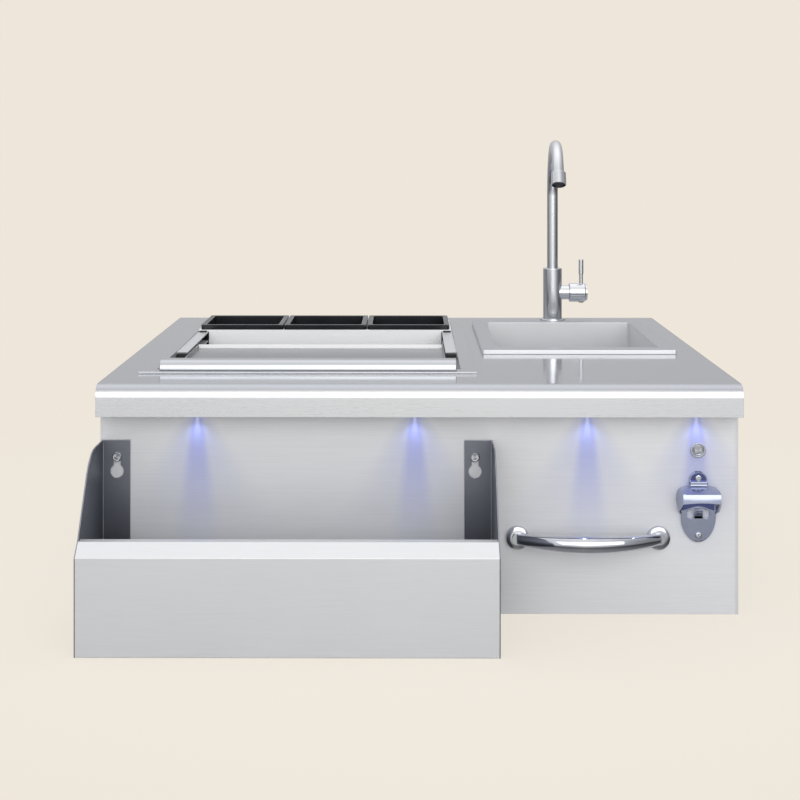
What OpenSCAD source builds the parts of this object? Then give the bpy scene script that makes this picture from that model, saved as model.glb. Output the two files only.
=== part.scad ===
// Bar sink with ice bin: a sheet steel case whose worktop carries an insulated ice bin with a sliding lid
// and a condiment caddy, a drop-in sink and a gooseneck tap. A bottle rail, a towel bar, a bottle opener,
// a push button and four small lights sit on its front.
// Millimetres. X to the right, Y to the back, Z up. The origin is the centre of the case's base.

/* [Case and worktop] */
// Width of the case and of the worktop
case_w = 762; // [740:1:820]
// Depth of the worktop, from the front of its lip to its back edge
deck_d = 660; // [650:1:700]
// Height of the worktop's top face above the base
case_h = 278; // [270:1:300]
// Thickness of the worktop sheet
deck_t = 1.5; // [1.2:0.1:2]
// Thickness of the case sheet and the bottle rail sheet
sheet_t = 1.2; // [1:0.1:1.5]
// How far the lip stands out from the case front
lip_overhang = 30.5; // [29:0.5:34]
// Radius of the rolled top edge of the lip
lip_r = 15; // [11:0.5:16]
// Height of the lip
lip_h = 37.6; // [34:0.1:42]
// Width of the side panels' folds that show at the front corners
side_fold = 3.2; // [2:0.1:6]
// Width of the ledges that carry the bottom panel
base_ledge = 12; // [8:1:18]

/* [Lights and button] */
// Place of the first light from the left, along the lip from the middle
light_1_x = -265; // [-300:1:-240]
// Place of the second light
light_2_x = -5; // [-60:1:60]
// Place of the third light
light_3_x = 201; // [160:1:230]
// Place of the fourth light
light_4_x = 331; // [300:1:350]
// Distance of the lights behind the lip's front
light_in = 16; // [14:0.5:18]
// Diameter of a light's housing
light_d = 11; // [9:0.5:13]
// Diameter of a light's lens
light_lens_d = 8; // [6:0.5:8.5]
// Distance of the button, the opener and the lights' inlet from the right end
button_in = 48; // [31:1:61]
// Depth of the button's centre below the worktop
button_drop = 82; // [75:1:86]
// Diameter of the button's bezel
bezel_d = 18; // [17.5:0.5:22]
// Diameter of the panel hole that the bezel's barrel fills
barrel_d = 16; // [15:0.5:17]
// Diameter of the moving button
button_d = 12.6; // [10:0.2:13]
// Travel of the button
button_travel = 1.6; // [1:0.1:2]

/* [Bottle rail] */
// Outer width of the rail
rail_w = 467; // [440:1:480]
// Distance of the rail's left end from the case's left side
rail_inset = 2; // [1:0.5:10]
// How far the rail stands out from the case
rail_d = 153.5; // [140:0.5:165]
// Height of the rail's straight front
rail_front_h = 109; // [95:0.5:112]
// Depth of the bevel at the top of the front
rail_bevel_d = 16; // [12:0.5:20]
// Height of the bevel at the top of the front
rail_bevel_h = 13.7; // [10:0.1:18]
// Height of the rail's end plates at the case
ear_h = 208; // [200:1:214]
// Width of the flanges that lie against the case
ear_flange_w = 34; // [32:1:40]
// Length of the end plates' level top edge
ear_top_l = 45; // [35:1:50]
// Radius of the curve between the top edge and the slanting edge
ear_r = 57; // [45:1:60]
// Height of the rail's low back wall
rail_back_h = 60; // [40:1:80]
// Distance of the studs from the rail's ends
stud_inset = 18.4; // [17.8:0.1:19]
// Distance of the studs below the tops of the end plates
stud_drop = 20; // [16:0.5:24]
// Diameter of a stud's head
stud_head_d = 11.7; // [10.5:0.1:13]
// Diameter of a stud's neck
stud_neck_d = 7.8; // [6:0.1:8.5]
// Diameter of the wide part of a keyhole
keyhole_d = 15.7; // [14.5:0.1:18]
// Distance from a stud down to the wide part of its keyhole
keyhole_l = 17.3; // [15:0.1:19]

/* [Towel bar] */
// Place of the towel bar's middle, right of the case's middle
towel_x = 201.6; // [195:0.5:206]
// Distance between the two rosettes' centres
towel_l = 168; // [150:1:176]
// Depth of the towel bar below the worktop
towel_drop = 186.6; // [175:0.5:195]
// Stand-off of the bar's centre line at its ends
towel_post = 9; // [8:0.5:14]
// How much further the bar bows out at its middle
towel_bow = 23; // [15:0.5:30]
// Diameter of the bar at its middle
towel_mid_d = 20; // [14:0.5:22]
// Diameter of the bar at its ends
towel_end_d = 13; // [10:0.5:14]
// Diameter of a rosette
rosette_d = 28.5; // [24:0.5:32]
// Thickness of a rosette
rosette_t = 4; // [3:0.5:5]

/* [Bottle opener] */
// Depth of the opener's top below the worktop
opener_drop = 107; // [104:1:112]
// Height of the opener
opener_h = 84; // [80:1:90]
// Thickness of the opener's plate
opener_t = 3; // [2.5:0.1:4]
// Width of the opener's top tab
opener_tab_w = 21.7; // [18:0.1:24]
// Greatest width of the opener's lower plate
opener_plate_w = 41.5; // [38:0.5:44]
// Width of the opener's hood
opener_hood_w = 48; // [46:1:54]
// How far the hood stands out from the case
opener_hood_d = 28; // [22:1:30]
// Distance of each screw from the plate's nearer end
opener_screw_in = 8; // [7:0.1:10]

/* [Ice bin] */
// Place of the ice bin's middle, from the middle of the case
bin_x = -137; // [-145:1:-130]
// Inner width of the ice bin
bin_w = 380; // [370:1:390]
// Distance of the bin's front wall behind the lip's front
bin_in = 114; // [110:1:118]
// Inner length of the bin, front to back
bin_l = 492; // [480:1:496]
// Depth of the bin below the worktop
bin_depth = 200; // [180:1:208]
// Thickness of the liner, of its flange and of the bin's outer shell
liner_t = 1.2; // [1:0.1:1.5]
// Thickness of the insulation
foam_t = 20; // [15:1:22]
// Width of the liner's flange at the sides
bin_flange_side = 19; // [16:0.5:20]
// Width of the liner's flange at the front
bin_flange_front = 31; // [29:1:34]
// Width of the liner's flange at the back
bin_flange_back = 24; // [18:1:28]

/* [Sliding lid] */
// Distance of the lid's front behind the lip's front
lid_in = 91; // [89:0.5:94]
// Gap beside the lid's front bar, to the bin's side walls
bar_side = 5.75; // [3:0.25:10]
// Depth of the front bar
bar_d = 25; // [25:0.5:28]
// Height of the front bar's top above the worktop
bar_top = 15.5; // [12:0.5:18]
// Height of the front bar's lower edge above the worktop
bar_low = 1.8; // [1.6:0.1:3]
// Radius of the bar's rounded front edge
bar_r = 11; // [7:0.5:11.5]
// Gap beside the lid's flat panel, to the bin's side walls
panel_side = 16; // [15.5:0.25:17]
// Depth of the flat panel's top face below the worktop
panel_drop = 8; // [7:0.1:8.5]
// Distance of the lid's rear edge behind the lip's front
lid_rear = 362; // [350:1:366]
// Height of the lid's upturned rear edge
lid_lip_h = 5.5; // [4:0.1:6.5]
// Travel of the lid towards the back
lid_travel = 115; // [80:1:116]
// Height of a guide rail
guide_h = 14; // [13:0.5:16]
// Width of a guide rail
guide_w = 15; // [14.6:0.1:15.4]
// Distance of the guide rails' front ends behind the lip's front
guide_in = 273; // [260:1:280]
// Length of a lid runner
runner_l = 98; // [60:1:99]

/* [Condiment caddy] */
// Distance of the caddy's front behind the lip's front
caddy_in = 484; // [484:0.5:488]
// Height of the caddy's plate top above the worktop
caddy_rise = 3; // [2.5:0.1:4]
// Depth of the caddy's front wall below the worktop
caddy_front_h = 70; // [40:1:75]
// Gap beside the outer trays, to the bin's side walls
tray_side = 3.5; // [2.5:0.5:11]
// Outer length of a tray's rim, front to back
tray_l = 120; // [110:0.5:120.5]
// Gap between two trays
tray_gap = 1.25; // [0.8:0.05:2]
// Height of a tray's rim
rim_h = 7; // [5:0.5:10]
// Width of a tray's rim
rim_w = 7.5; // [6:0.5:10]
// Thickness of a tray's walls
tray_t = 2; // [1.5:0.1:2.5]
// Depth of a tray below its rim
tray_depth = 58; // [40:1:65]
// Height by which a tray or the caddy lifts out
tray_lift = 80; // [75:1:100]

/* [Sink] */
// Place of the sink's middle, from the middle of the case
sink_x = 217.5; // [214:0.5:220]
// Outer width of the sink's rim
sink_rim_w = 261; // [252:1:270]
// Outer length of the sink's rim, front to back
sink_rim_l = 323; // [316:1:330]
// Distance of the rim's front behind the lip's front
sink_in = 252; // [246:1:254]
// Height of the rim above the worktop
sink_rim_h = 6; // [4:0.5:8]
// Inner width of the bowl
bowl_w = 221; // [210:1:226]
// Inner length of the bowl
bowl_l = 272; // [260:1:276]
// Width of the rim at the front
bowl_in = 27; // [25:0.5:30]
// Depth of the bowl below its rim
bowl_depth = 150; // [130:1:152]
// Thickness of the bowl's sheet
bowl_t = 1.2; // [1:0.1:1.5]
// Diameter of the sink's drain flange
drain_flange_d = 110; // [104:1:116]
// Inner diameter of the drain cup
drain_cup_d = 82; // [76:1:86]
// Diameter of the sink's drain tail
drain_tail_d = 38; // [32:1:40]

/* [Tap] */
// Place of the tap, right of the middle
tap_x = 218; // [214:0.5:222]
// Distance of the tap behind the lip's front
tap_in = 632; // [630:0.5:636]
// Diameter of the tap's base flange
tap_flange_d = 40; // [36:0.5:42]
// Diameter of the tap's body and of its lever hub
tap_body_d = 29.7; // [28:0.1:32]
// Height of the body's top above the worktop
tap_body_h = 83; // [78:1:90]
// Diameter of the spout's tube
spout_d = 17.1; // [15:0.1:18]
// Height of the spout's top above the worktop
spout_h = 287; // [260:1:310]
// Radius of the gooseneck's bend
spout_r = 80; // [50:1:85]
// Angle of the gooseneck's bend
spout_bend = 153; // [140:1:180]
// Angle by which the spout rests turned to the left
spout_turn = 2.2; // [0:0.1:10]
// Diameter of the aerator
aerator_d = 22.7; // [20.5:0.1:24]
// Length of the aerator
aerator_l = 17; // [12:0.5:22]
// Diameter of the side arm
arm_d = 22.3; // [21:0.1:24]
// Height of the side arm's axis above the worktop
arm_h = 44; // [36:1:52]
// Distance from the tap's axis to the near face of the lever hub
hub_in = 26.5; // [22:0.5:30]
// Length of the lever hub
hub_l = 28.4; // [24:0.2:32]
// Diameter of the lever rod's lower part
rod_low_d = 6; // [5:0.1:7]
// Diameter of the lever rod's upper part
rod_top_d = 7.8; // [7:0.1:9]
// Height of the lever rod's upper part above the worktop, at its lower end
rod_step_h = 72.6; // [66:0.1:78]
// Height of the lever rod's top above the worktop
rod_top_h = 96.9; // [88:0.1:104]
// Diameter of the tap's threaded shank
shank_d = 20.9; // [18:0.1:22]
// Length of the shank below the worktop
shank_l = 52; // [40:1:60]

/* [Hidden] */
$fn = 64;

// Overrun of every cut past the face that it opens
over = 1;
// Clearance between pieces that move against each other
run_gap = 0.3;
// Clearance of a turning fit, on the radius
turn_gap = 0.08;
// Clearance of a piece in the cut-out that it drops into
drop_gap = 2;
// Length of a hole's clearance round a screw or a barrel, on the radius
hole_gap = 0.15;

// Places of all four lights
light_x = [light_1_x, light_2_x, light_3_x, light_4_x];

// Main faces of the case
half_w = case_w / 2;
button_x = half_w - button_in;
lip_y = -(deck_d + lip_overhang) / 2;
front_y = lip_y + lip_overhang;
back_y = lip_y + deck_d;
deck_z = case_h;
under_z = case_h - deck_t;

// Small sizes of the lights and the button
light_flange = 2;
light_flange_t = 0.8;
light_h = 10;
lens_proud = 1.2;
bezel_t = 2;
barrel_l = 24;
button_proud = 1.6;
button_seat = 5;
bezel_round = 0.8;
nut_w = 3;
button_nut_t = 4;

// Small sizes of the bottle rail and its studs
stud_head_t = 2.6;
stud_thread_d = 5;
stud_thread_l = 9;
stud_nut_d = 9.2;
stud_nut_t = 4;
rail_hem = 12;
stud_span = 427.2;
rail_corner = 3;
ear_steps = 10;

// Small sizes of the towel bar
bar_rings = 24;
bar_sides = 20;
rosette_round = 2;
towel_screw_d = 4;
towel_screw_l = 4;
towel_screw_head_d = 8;
towel_screw_head_t = 2.5;

// Small sizes of the opener
opener_screw_d = 4;
opener_screw_head_d = 7;
opener_screw_head_t = 1.6;
opener_screw_l = 12;
opener_slot_w = 8.4;
opener_slot_h = 12;
opener_slot_x = 9.4;
opener_slot_low = 57;
opener_wall = 2.6;
opener_neck_drop = 12.5;
opener_ridge_drop = 17;
opener_ridge_d = 11;
opener_ridge_w = 36;
opener_shoulder_drop = 23.5;
opener_lip_drop = 34;
opener_cheek_drop = 41;
opener_mouth_drop = 53;
opener_arch = 2.5;
opener_steps = 24;
tongue_w = 9;
tongue_h = 9;
tongue_d = 8;

// Small sizes of the ice bin
ice_drain_d = 20;
ice_drain_wall = 3;
ice_drain_flange_d = 46;
ice_drain_flange_t = 2;
ice_drain_l = 58;
ice_tail_l = 26;
ice_tail_d = 24;
ice_nut_d = 40;
ice_nut_t = 8;
ice_drain_in = 330;
plug_d = 19;
plug_l = 14;
plug_head_d = 30;
plug_head_t = 3;
plug_knob_d = 8;
plug_knob_h = 10;

// Small sizes of the lid, the guide rails and the caddy
guide_l = 216;
foot_w = 11;
foot_out = 7;
foot_l = 12.5;
caddy_gap = 0.8;
caddy_skirt_h = 12;
ledge_w = 4.5;
ledge_h = 14;
tray_rest = 0.2;
tray_fit = 0.5;
cavity_round = 4;

// Small sizes of the sink and its drain
clip_w = 22;
clip_l = 14;
clip_t = 2;
clip_h = 26;
drain_flange_t = 2;
drain_wall = 2;
drain_cup_h = 40;
drain_spigot_h = 14;
drain_outlet_d = 30;
gasket_t = 3;
drain_nut_w = 14;
drain_nut_t = 10;
tail_l = 42;
tail_wall = 1.5;
tail_flare_d = 42;
tail_flare_h = 6;
tail_nut_d = 52;
tail_nut_t = 12;
strainer_rim_d = 96;
strainer_t = 1.2;
strainer_h = 32;
strainer_holes = 12;
strainer_hole_d = 6;
strainer_ring_share = 0.62;
strainer_knob_d = 12;
strainer_post_d = 5;
strainer_post_h = 40;
strainer_knob_t = 6;
drain_hole_gap = 3;

// Small sizes of the tap
tap_flange_t = 3;
tap_round = 1.5;
tap_bore_d = 20;
neck_end_h = 60;
cartridge_d = 18;
cartridge_in = 6;
cartridge_out = 3;
spindle_d = 8;
spindle_l = 16;
hub_round = 4;
hub_bevel = 2.5;
hub_pocket = 3.6;
rod_in = 45.6;
rod_sink = 5;
set_screw_d = 4.5;
screw_cap_d = 8;
screw_cap_h = 1.4;
screw_l = 6;
shank_bore_d = 12;
shank_end_d = 20.4;
washer_t = 3;
tap_nut_t = 9;
aerator_overlap = 6;
aerator_face_in = 2.5;
inlet_d = 12;
inlet_flange_d = 16;
inlet_flange_t = 2;
inlet_l = 14;
inlet_bore_d = 5.7;
inlet_up = 40;
way_in_w = 72;
way_in_l = 55;
way_in_back = 20;

// Worked-out places of the bottle rail
rail_x0 = -half_w + rail_inset;
rail_x1 = rail_x0 + rail_w;
rail_back_y = front_y - run_gap;
rail_front_y = front_y - rail_d;
stud_x = [rail_x0 + stud_inset, rail_x0 + stud_inset + stud_span];
stud_z = ear_h - stud_drop;
rail_top_z = rail_front_h + rail_bevel_h;

// Worked-out places of the ice bin, the lid and the caddy
bin_x0 = bin_x - bin_w / 2;
bin_x1 = bin_x + bin_w / 2;
bin_y0 = lip_y + bin_in;
bin_y1 = bin_y0 + bin_l;
bin_z = deck_z - bin_depth;
bar_w = bin_w - 2 * bar_side;
panel_w = bin_w - 2 * panel_side;
tray_w = (bin_w - 2 * tray_side - 2 * tray_gap) / 3;
jacket = liner_t + foam_t + liner_t;
ice_drain_y = lip_y + ice_drain_in;
panel_z = deck_z - panel_drop;
lid_y0 = lip_y + lid_in;
lid_web_y = lid_y0 + bar_d;
lid_y1 = lip_y + lid_rear;
guide_y0 = lip_y + guide_in;
guide_y1 = guide_y0 + guide_l;
caddy_y0 = lip_y + caddy_in;
caddy_y1 = bin_y1 - caddy_gap;
caddy_z = deck_z + caddy_rise;
caddy_half_w = bin_w / 2 - caddy_gap;
tray_pitch = tray_w + tray_gap;
tray_y0 = (caddy_y0 + caddy_y1 - tray_l) / 2;
tray_z = caddy_z + tray_rest;
body_in = rim_w - tray_t;

// Worked-out places of the sink and the tap
sink_y0 = lip_y + sink_in;
bowl_y0 = sink_y0 + bowl_in;
bowl_y = bowl_y0 + bowl_l / 2;
bowl_x0 = sink_x - bowl_w / 2;
bowl_x1 = sink_x + bowl_w / 2;
sink_top = deck_z + sink_rim_h;
bowl_z = sink_top - bowl_depth;
cup_floor_z = bowl_z - drain_cup_h;
spigot_z = cup_floor_z - drain_spigot_h;
tail_z = spigot_z - tail_l;
tap_y = lip_y + tap_in;
arc_z = spout_h - spout_d / 2 - spout_r;

// A box between six named faces
module slab(x0, x1, y0, y1, z0, z1) {
    translate([x0, y0, z0]) cube([x1 - x0, y1 - y0, z1 - z0]);
}

// A pipe that stands on z = 0
module pipe(outer_d, inner_d, h) {
    difference() {
        cylinder(h = h, d = outer_d);
        translate([0, 0, -over]) cylinder(h = h + 2 * over, d = inner_d);
    }
}

// Turns a piece that stands on z = 0 so that it points out of the case front
module facing_front() {
    rotate([90, 0, 0]) children();
}

// Turns a piece that stands on z = 0 so that it points into the case
module facing_back() {
    rotate([-90, 0, 0]) children();
}

// A disc with a rounded upper edge
module rounded_disc(d, h, r) {
    rotate_extrude() union() {
        square([d / 2 - r, h]);
        square([d / 2, h - r]);
        translate([d / 2 - r, h - r]) intersection() {
            circle(r = r);
            square([r, r]);
        }
    }
}

// The lip's section, as a filled outline that is drawn in by the sheet thickness. X is the way back
module lip_section(inset) {
    translate([inset, -lip_h + inset]) square([lip_overhang + inset, lip_h - lip_r - inset]);
    translate([lip_r, -lip_r - over]) square([lip_overhang - lip_r + inset, lip_r + over - inset]);
    translate([lip_r, -lip_r]) circle(r = lip_r - inset);
}

// The lip's filled section, cut off at the case front
module lip_end() {
    intersection() {
        lip_section(0);
        translate([0, -lip_h]) square([lip_overhang, lip_h]);
    }
}

// Stands an outline of depth and height across the case, from x0 over a width
module across(x0, w, y0, z0) {
    translate([x0, y0, z0]) rotate([90, 0, 90]) linear_extrude(w) children();
}

module deck_top() {
    color("silver") difference() {
        union() {
            across(-half_w, case_w, lip_y, deck_z) difference() {
                lip_end();
                lip_section(deck_t);
            }
            for (x = [-half_w, half_w - deck_t]) across(x, deck_t, lip_y, deck_z) lip_end();
            slab(-half_w, half_w, front_y, back_y, under_z, deck_z);
        }
        slab(bin_x0 - liner_t - drop_gap, bin_x1 + liner_t + drop_gap, bin_y0 - liner_t - drop_gap,
            bin_y1 + liner_t + drop_gap, under_z - over, deck_z + over);
        slab(bowl_x0 - bowl_t - drop_gap, bowl_x1 + bowl_t + drop_gap, bowl_y0 - bowl_t - drop_gap,
            bowl_y0 + bowl_l + bowl_t + drop_gap, under_z - over, deck_z + over);
        translate([tap_x, tap_y, under_z - over])
            cylinder(h = deck_t + 2 * over, d = shank_d + 2 * hole_gap);
        for (x = light_x) translate([x, lip_y + light_in, deck_z - lip_h - over])
            cylinder(h = deck_t + 2 * over, d = light_d + 2 * hole_gap);
    }
}

module front_panel() {
    color("lightgray") difference() {
        slab(-half_w + side_fold, half_w - side_fold, front_y, front_y + sheet_t, 0, under_z);
        translate([button_x, front_y - over, deck_z - button_drop])
            facing_back() cylinder(h = sheet_t + 2 * over, d = barrel_d + 2 * hole_gap);
        for (x = stud_x) translate([x, front_y - over, stud_z])
            facing_back() cylinder(h = sheet_t + 2 * over, d = stud_thread_d + 2 * hole_gap);
        for (z = opener_screw_z()) translate([button_x, front_y - over, z])
            facing_back() cylinder(h = sheet_t + 2 * over, d = opener_screw_d + 2 * hole_gap);
        for (x = towel_end_x()) translate([x, front_y - over, deck_z - towel_drop])
            facing_back() cylinder(h = sheet_t + 2 * over, d = towel_screw_d + 2 * hole_gap);
    }
}

// One side panel, drawn as the left one, with its front fold and the ledge for the bottom panel
module side_panel() {
    slab(-half_w, -half_w + sheet_t, front_y, back_y, 0, under_z);
    slab(-half_w, -half_w + side_fold, front_y, front_y + sheet_t, 0, under_z);
}

module left_side_panel() {
    color("gainsboro") side_panel();
}

module right_side_panel() {
    color("gainsboro") mirror([1, 0, 0]) side_panel();
}

module back_panel() {
    color("gainsboro") difference() {
        slab(-half_w + sheet_t, half_w - sheet_t, back_y - sheet_t, back_y, 0, under_z);
        translate([button_x, back_y - sheet_t - over, inlet_up])
            facing_back() cylinder(h = sheet_t + 2 * over, d = inlet_d + 2 * hole_gap);
    }
}

// The bottom panel, with upturned ledges, both drain holes and the way in for the supply hose
module bottom_panel() {
    y0 = front_y + sheet_t;
    y1 = back_y - sheet_t;
    x1 = half_w - sheet_t;
    color("gainsboro") difference() {
        slab(-x1, x1, y0, y1, 0, base_ledge);
        slab(-x1 + sheet_t, x1 - sheet_t, y0 + sheet_t, y1 - sheet_t, sheet_t, base_ledge + over);
        translate([bin_x, ice_drain_y, -over])
            cylinder(h = sheet_t + 2 * over, d = ice_nut_d + 2 * drain_hole_gap);
        translate([sink_x, bowl_y, -over])
            cylinder(h = sheet_t + 2 * over, d = tail_nut_d + 2 * drain_hole_gap);
        slab(tap_x - way_in_w / 2, tap_x + way_in_w / 2, tap_y + way_in_back - way_in_l, tap_y + way_in_back,
            -over, sheet_t + over);
    }
}

module rail_studs() {
    color("silver") for (x = stud_x) translate([x, front_y, stud_z]) {
        facing_front() cylinder(h = sheet_t + 2 * run_gap, d = stud_neck_d);
        translate([0, -sheet_t - 2 * run_gap, 0])
            facing_front() rounded_disc(stud_head_d, stud_head_t, stud_head_t / 2);
        facing_back() cylinder(h = stud_thread_l, d = stud_thread_d);
    }
}

module stud_nuts() {
    color("gray") for (x = stud_x) translate([x, front_y + sheet_t, stud_z]) facing_back() difference() {
        cylinder(h = stud_nut_t, d = stud_nut_d, $fn = 6);
        translate([0, 0, -over]) cylinder(h = stud_nut_t + 2 * over, d = stud_thread_d);
    }
}

module light_housings() {
    color("dimgray") for (x = light_x) translate([x, lip_y + light_in, deck_z - lip_h]) difference() {
        union() {
            translate([0, 0, -light_flange_t]) cylinder(h = light_flange_t, d = light_d + 2 * light_flange);
            cylinder(h = light_h, d = light_d);
        }
        translate([0, 0, -light_flange_t - over])
            cylinder(h = light_h - light_flange + over, d = light_lens_d);
    }
}

module light_lenses() {
    color("lightblue") for (x = light_x)
        translate([x, lip_y + light_in, deck_z - lip_h - light_flange_t]) rotate([180, 0, 0]) {
            rounded_disc(light_lens_d, lens_proud, lens_proud / 2);
            rotate([180, 0, 0]) cylinder(h = light_h - light_flange, d = light_lens_d);
        }
}

module button_bezel() {
    bore_d = button_d + 2 * turn_gap;
    color("silver") translate([button_x, front_y, deck_z - button_drop]) difference() {
        union() {
            facing_front() rounded_disc(bezel_d, bezel_t, bezel_round);
            facing_back() cylinder(h = barrel_l, d = barrel_d);
        }
        translate([0, -bezel_t - over, 0])
            facing_back() cylinder(h = bezel_t + over + button_seat + button_travel + run_gap, d = bore_d);
    }
}

module button_nut() {
    color("gray") translate([button_x, front_y + sheet_t, deck_z - button_drop])
        facing_back() pipe(barrel_d + 2 * nut_w, barrel_d, button_nut_t);
}

module light_button() {
    color("whitesmoke") translate([button_x, front_y + button_seat, deck_z - button_drop])
        facing_front() rounded_disc(button_d, button_seat + bezel_t + button_proud, bezel_round);
}

module power_inlet() {
    color("black") translate([button_x, back_y, inlet_up]) difference() {
        union() {
            facing_back() cylinder(h = inlet_flange_t, d = inlet_flange_d);
            facing_front() cylinder(h = inlet_l, d = inlet_d);
        }
        translate([0, inlet_flange_t + over, 0])
            facing_front() cylinder(h = inlet_l + over, d = inlet_bore_d);
    }
}

// Outline of an end plate. X is the way out from the rail's back, Y is the height
function ear_outline() = let (
        top = [rail_d - run_gap - rail_bevel_d, rail_top_z],
        start = [ear_top_l, ear_h],
        drop = start[1] - top[1],
        out = top[0] - start[0],
        reach = sqrt(drop * drop + out * out - 2 * ear_r * drop),
        turn = 2 * atan(drop / (out + reach)))
    concat([[0, 0], [0, ear_h]],
        [for (i = [0:ear_steps]) start + ear_r * [sin(turn * i / ear_steps), cos(turn * i / ear_steps) - 1]],
        [top, [rail_d - run_gap, rail_front_h], [rail_d - run_gap, rail_corner],
            [rail_d - run_gap - rail_corner, 0]]);

module ear(x0) {
    translate([x0, rail_back_y, 0]) rotate([90, 0, -90]) mirror([0, 0, 1])
        linear_extrude(sheet_t) polygon(ear_outline());
}

module keyhole(x) {
    translate([x, rail_back_y + over, stud_z]) facing_front() {
        cut_l = sheet_t + 2 * over;
        slot_w = stud_neck_d + 2 * run_gap;
        cylinder(h = cut_l, d = slot_w);
        translate([0, -keyhole_l, 0]) cylinder(h = cut_l, d = keyhole_d);
        translate([-slot_w / 2, -keyhole_l, 0]) cube([slot_w, keyhole_l, cut_l]);
    }
}

// The bevel and its hem at the top of the rail's front, as an outline. X is the way back from the front
module rail_bevel() {
    polygon([[0, 0], [rail_bevel_d, rail_bevel_h], [rail_bevel_d + rail_hem, rail_bevel_h],
        [rail_bevel_d + rail_hem, rail_bevel_h - sheet_t], [rail_bevel_d + sheet_t / 2, rail_bevel_h - sheet_t],
        [sheet_t, -sheet_t / 2], [0, -sheet_t / 2]]);
}

module bottle_rail() {
    inner_y = rail_back_y - sheet_t;
    color("lightgray") difference() {
        union() {
            ear(rail_x0);
            ear(rail_x1 - sheet_t);
            slab(rail_x0, rail_x0 + ear_flange_w, inner_y, rail_back_y, 0, ear_h);
            slab(rail_x1 - ear_flange_w, rail_x1, inner_y, rail_back_y, 0, ear_h);
            slab(rail_x0, rail_x1, inner_y, rail_back_y, 0, rail_back_h);
            slab(rail_x0, rail_x1, rail_front_y + rail_corner, rail_back_y, 0, sheet_t);
            slab(rail_x0, rail_x1, rail_front_y, rail_front_y + sheet_t, rail_corner, rail_front_h);
            across(rail_x0, rail_w, rail_front_y, 0) polygon([[0, rail_corner], [rail_corner, 0],
                [rail_corner, sheet_t], [sheet_t, rail_corner]]);
            across(rail_x0, rail_w, rail_front_y, rail_front_h) rail_bevel();
        }
        for (x = stud_x) keyhole(x);
    }
}

// Points of the towel bar's centre line, as a share u from -1 to 1 of its half length
function bar_x_at(u) = u * towel_l / 2;
function bar_y_at(u) = -towel_post - towel_bow * (1 - u * u);
function bar_r_at(u) = (towel_end_d + (towel_mid_d - towel_end_d) * (1 - u * u)) / 2;
function bar_tilt(u) = atan2(4 * towel_bow * u, towel_l);

// One ring of the swept bar
function bar_ring(u) = [for (j = [0:bar_sides - 1]) let (a = 360 * j / bar_sides, r = bar_r_at(u))
    [bar_x_at(u) - r * cos(a) * sin(bar_tilt(u)), bar_y_at(u) + r * cos(a) * cos(bar_tilt(u)), r * sin(a)]];

module bowed_bar() {
    points = [for (i = [0:bar_rings]) each bar_ring(2 * i / bar_rings - 1)];
    sides = [for (i = [0:bar_rings - 1], j = [0:bar_sides - 1]) let (k = (j + 1) % bar_sides)
        each [[i * bar_sides + j, (i + 1) * bar_sides + j, (i + 1) * bar_sides + k],
            [i * bar_sides + j, (i + 1) * bar_sides + k, i * bar_sides + k]]];
    first = [for (j = [1:bar_sides - 2]) [0, j, j + 1]];
    last = bar_rings * bar_sides;
    end = [for (j = [1:bar_sides - 2]) [last, last + j + 1, last + j]];
    polyhedron(points = points, faces = concat(sides, first, end), convexity = 4);
}

// Places of the towel bar's two ends
function towel_end_x() = [towel_x - towel_l / 2, towel_x + towel_l / 2];

module towel_bar() {
    color("silver") difference() {
        union() {
            translate([towel_x, front_y, deck_z - towel_drop]) bowed_bar();
            for (x = towel_end_x()) translate([x, front_y, deck_z - towel_drop]) {
                translate([0, -rosette_t, 0])
                    facing_front() cylinder(h = towel_post - rosette_t, d = towel_end_d);
                intersection() {
                    translate([0, -towel_post, 0]) sphere(d = towel_end_d);
                    slab(-towel_end_d, towel_end_d, -towel_post - towel_end_d, -rosette_t, -towel_end_d,
                        towel_end_d);
                }
            }
        }
        for (x = towel_end_x()) translate([x, front_y, deck_z - towel_drop])
            facing_front() cylinder(h = rosette_t + towel_screw_l, d = towel_screw_d);
    }
}

module towel_bar_rosettes() {
    color("silver") for (x = towel_end_x()) translate([x, front_y, deck_z - towel_drop]) difference() {
        facing_front() rounded_disc(rosette_d, rosette_t, rosette_round);
        translate([0, over, 0]) facing_front() cylinder(h = rosette_t + 2 * over, d = towel_screw_d);
    }
}

// The screws that hold the towel bar from inside the case
module towel_bar_screws() {
    color("gray") for (x = towel_end_x()) translate([x, front_y, deck_z - towel_drop]) {
        facing_front() cylinder(h = rosette_t + towel_screw_l, d = towel_screw_d);
        facing_back() cylinder(h = sheet_t, d = towel_screw_d);
        translate([0, sheet_t, 0]) facing_back() cylinder(h = towel_screw_head_t, d = towel_screw_head_d);
    }
}

// Heights of the opener's two screws
function opener_screw_z() = [deck_z - opener_drop - opener_screw_in,
    deck_z - opener_drop - opener_h + opener_screw_in];

// The opener's plate outline, from its top down: the round tab, then the shield below the hood
module opener_outline() {
    tab_r = opener_tab_w / 2;
    half = opener_plate_w / 2;
    tip = opener_h - opener_mouth_drop;
    translate([0, -tab_r]) circle(r = tab_r);
    translate([-tab_r, -opener_mouth_drop]) square([opener_tab_w, opener_mouth_drop - tab_r]);
    translate([-half, -opener_mouth_drop]) square([opener_plate_w, opener_mouth_drop - opener_lip_drop]);
    translate([0, -opener_mouth_drop])
        polygon([for (i = [0:opener_steps]) let (a = 180 * i / opener_steps) [half * cos(a), -tip * sin(a)]]);
}

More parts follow.
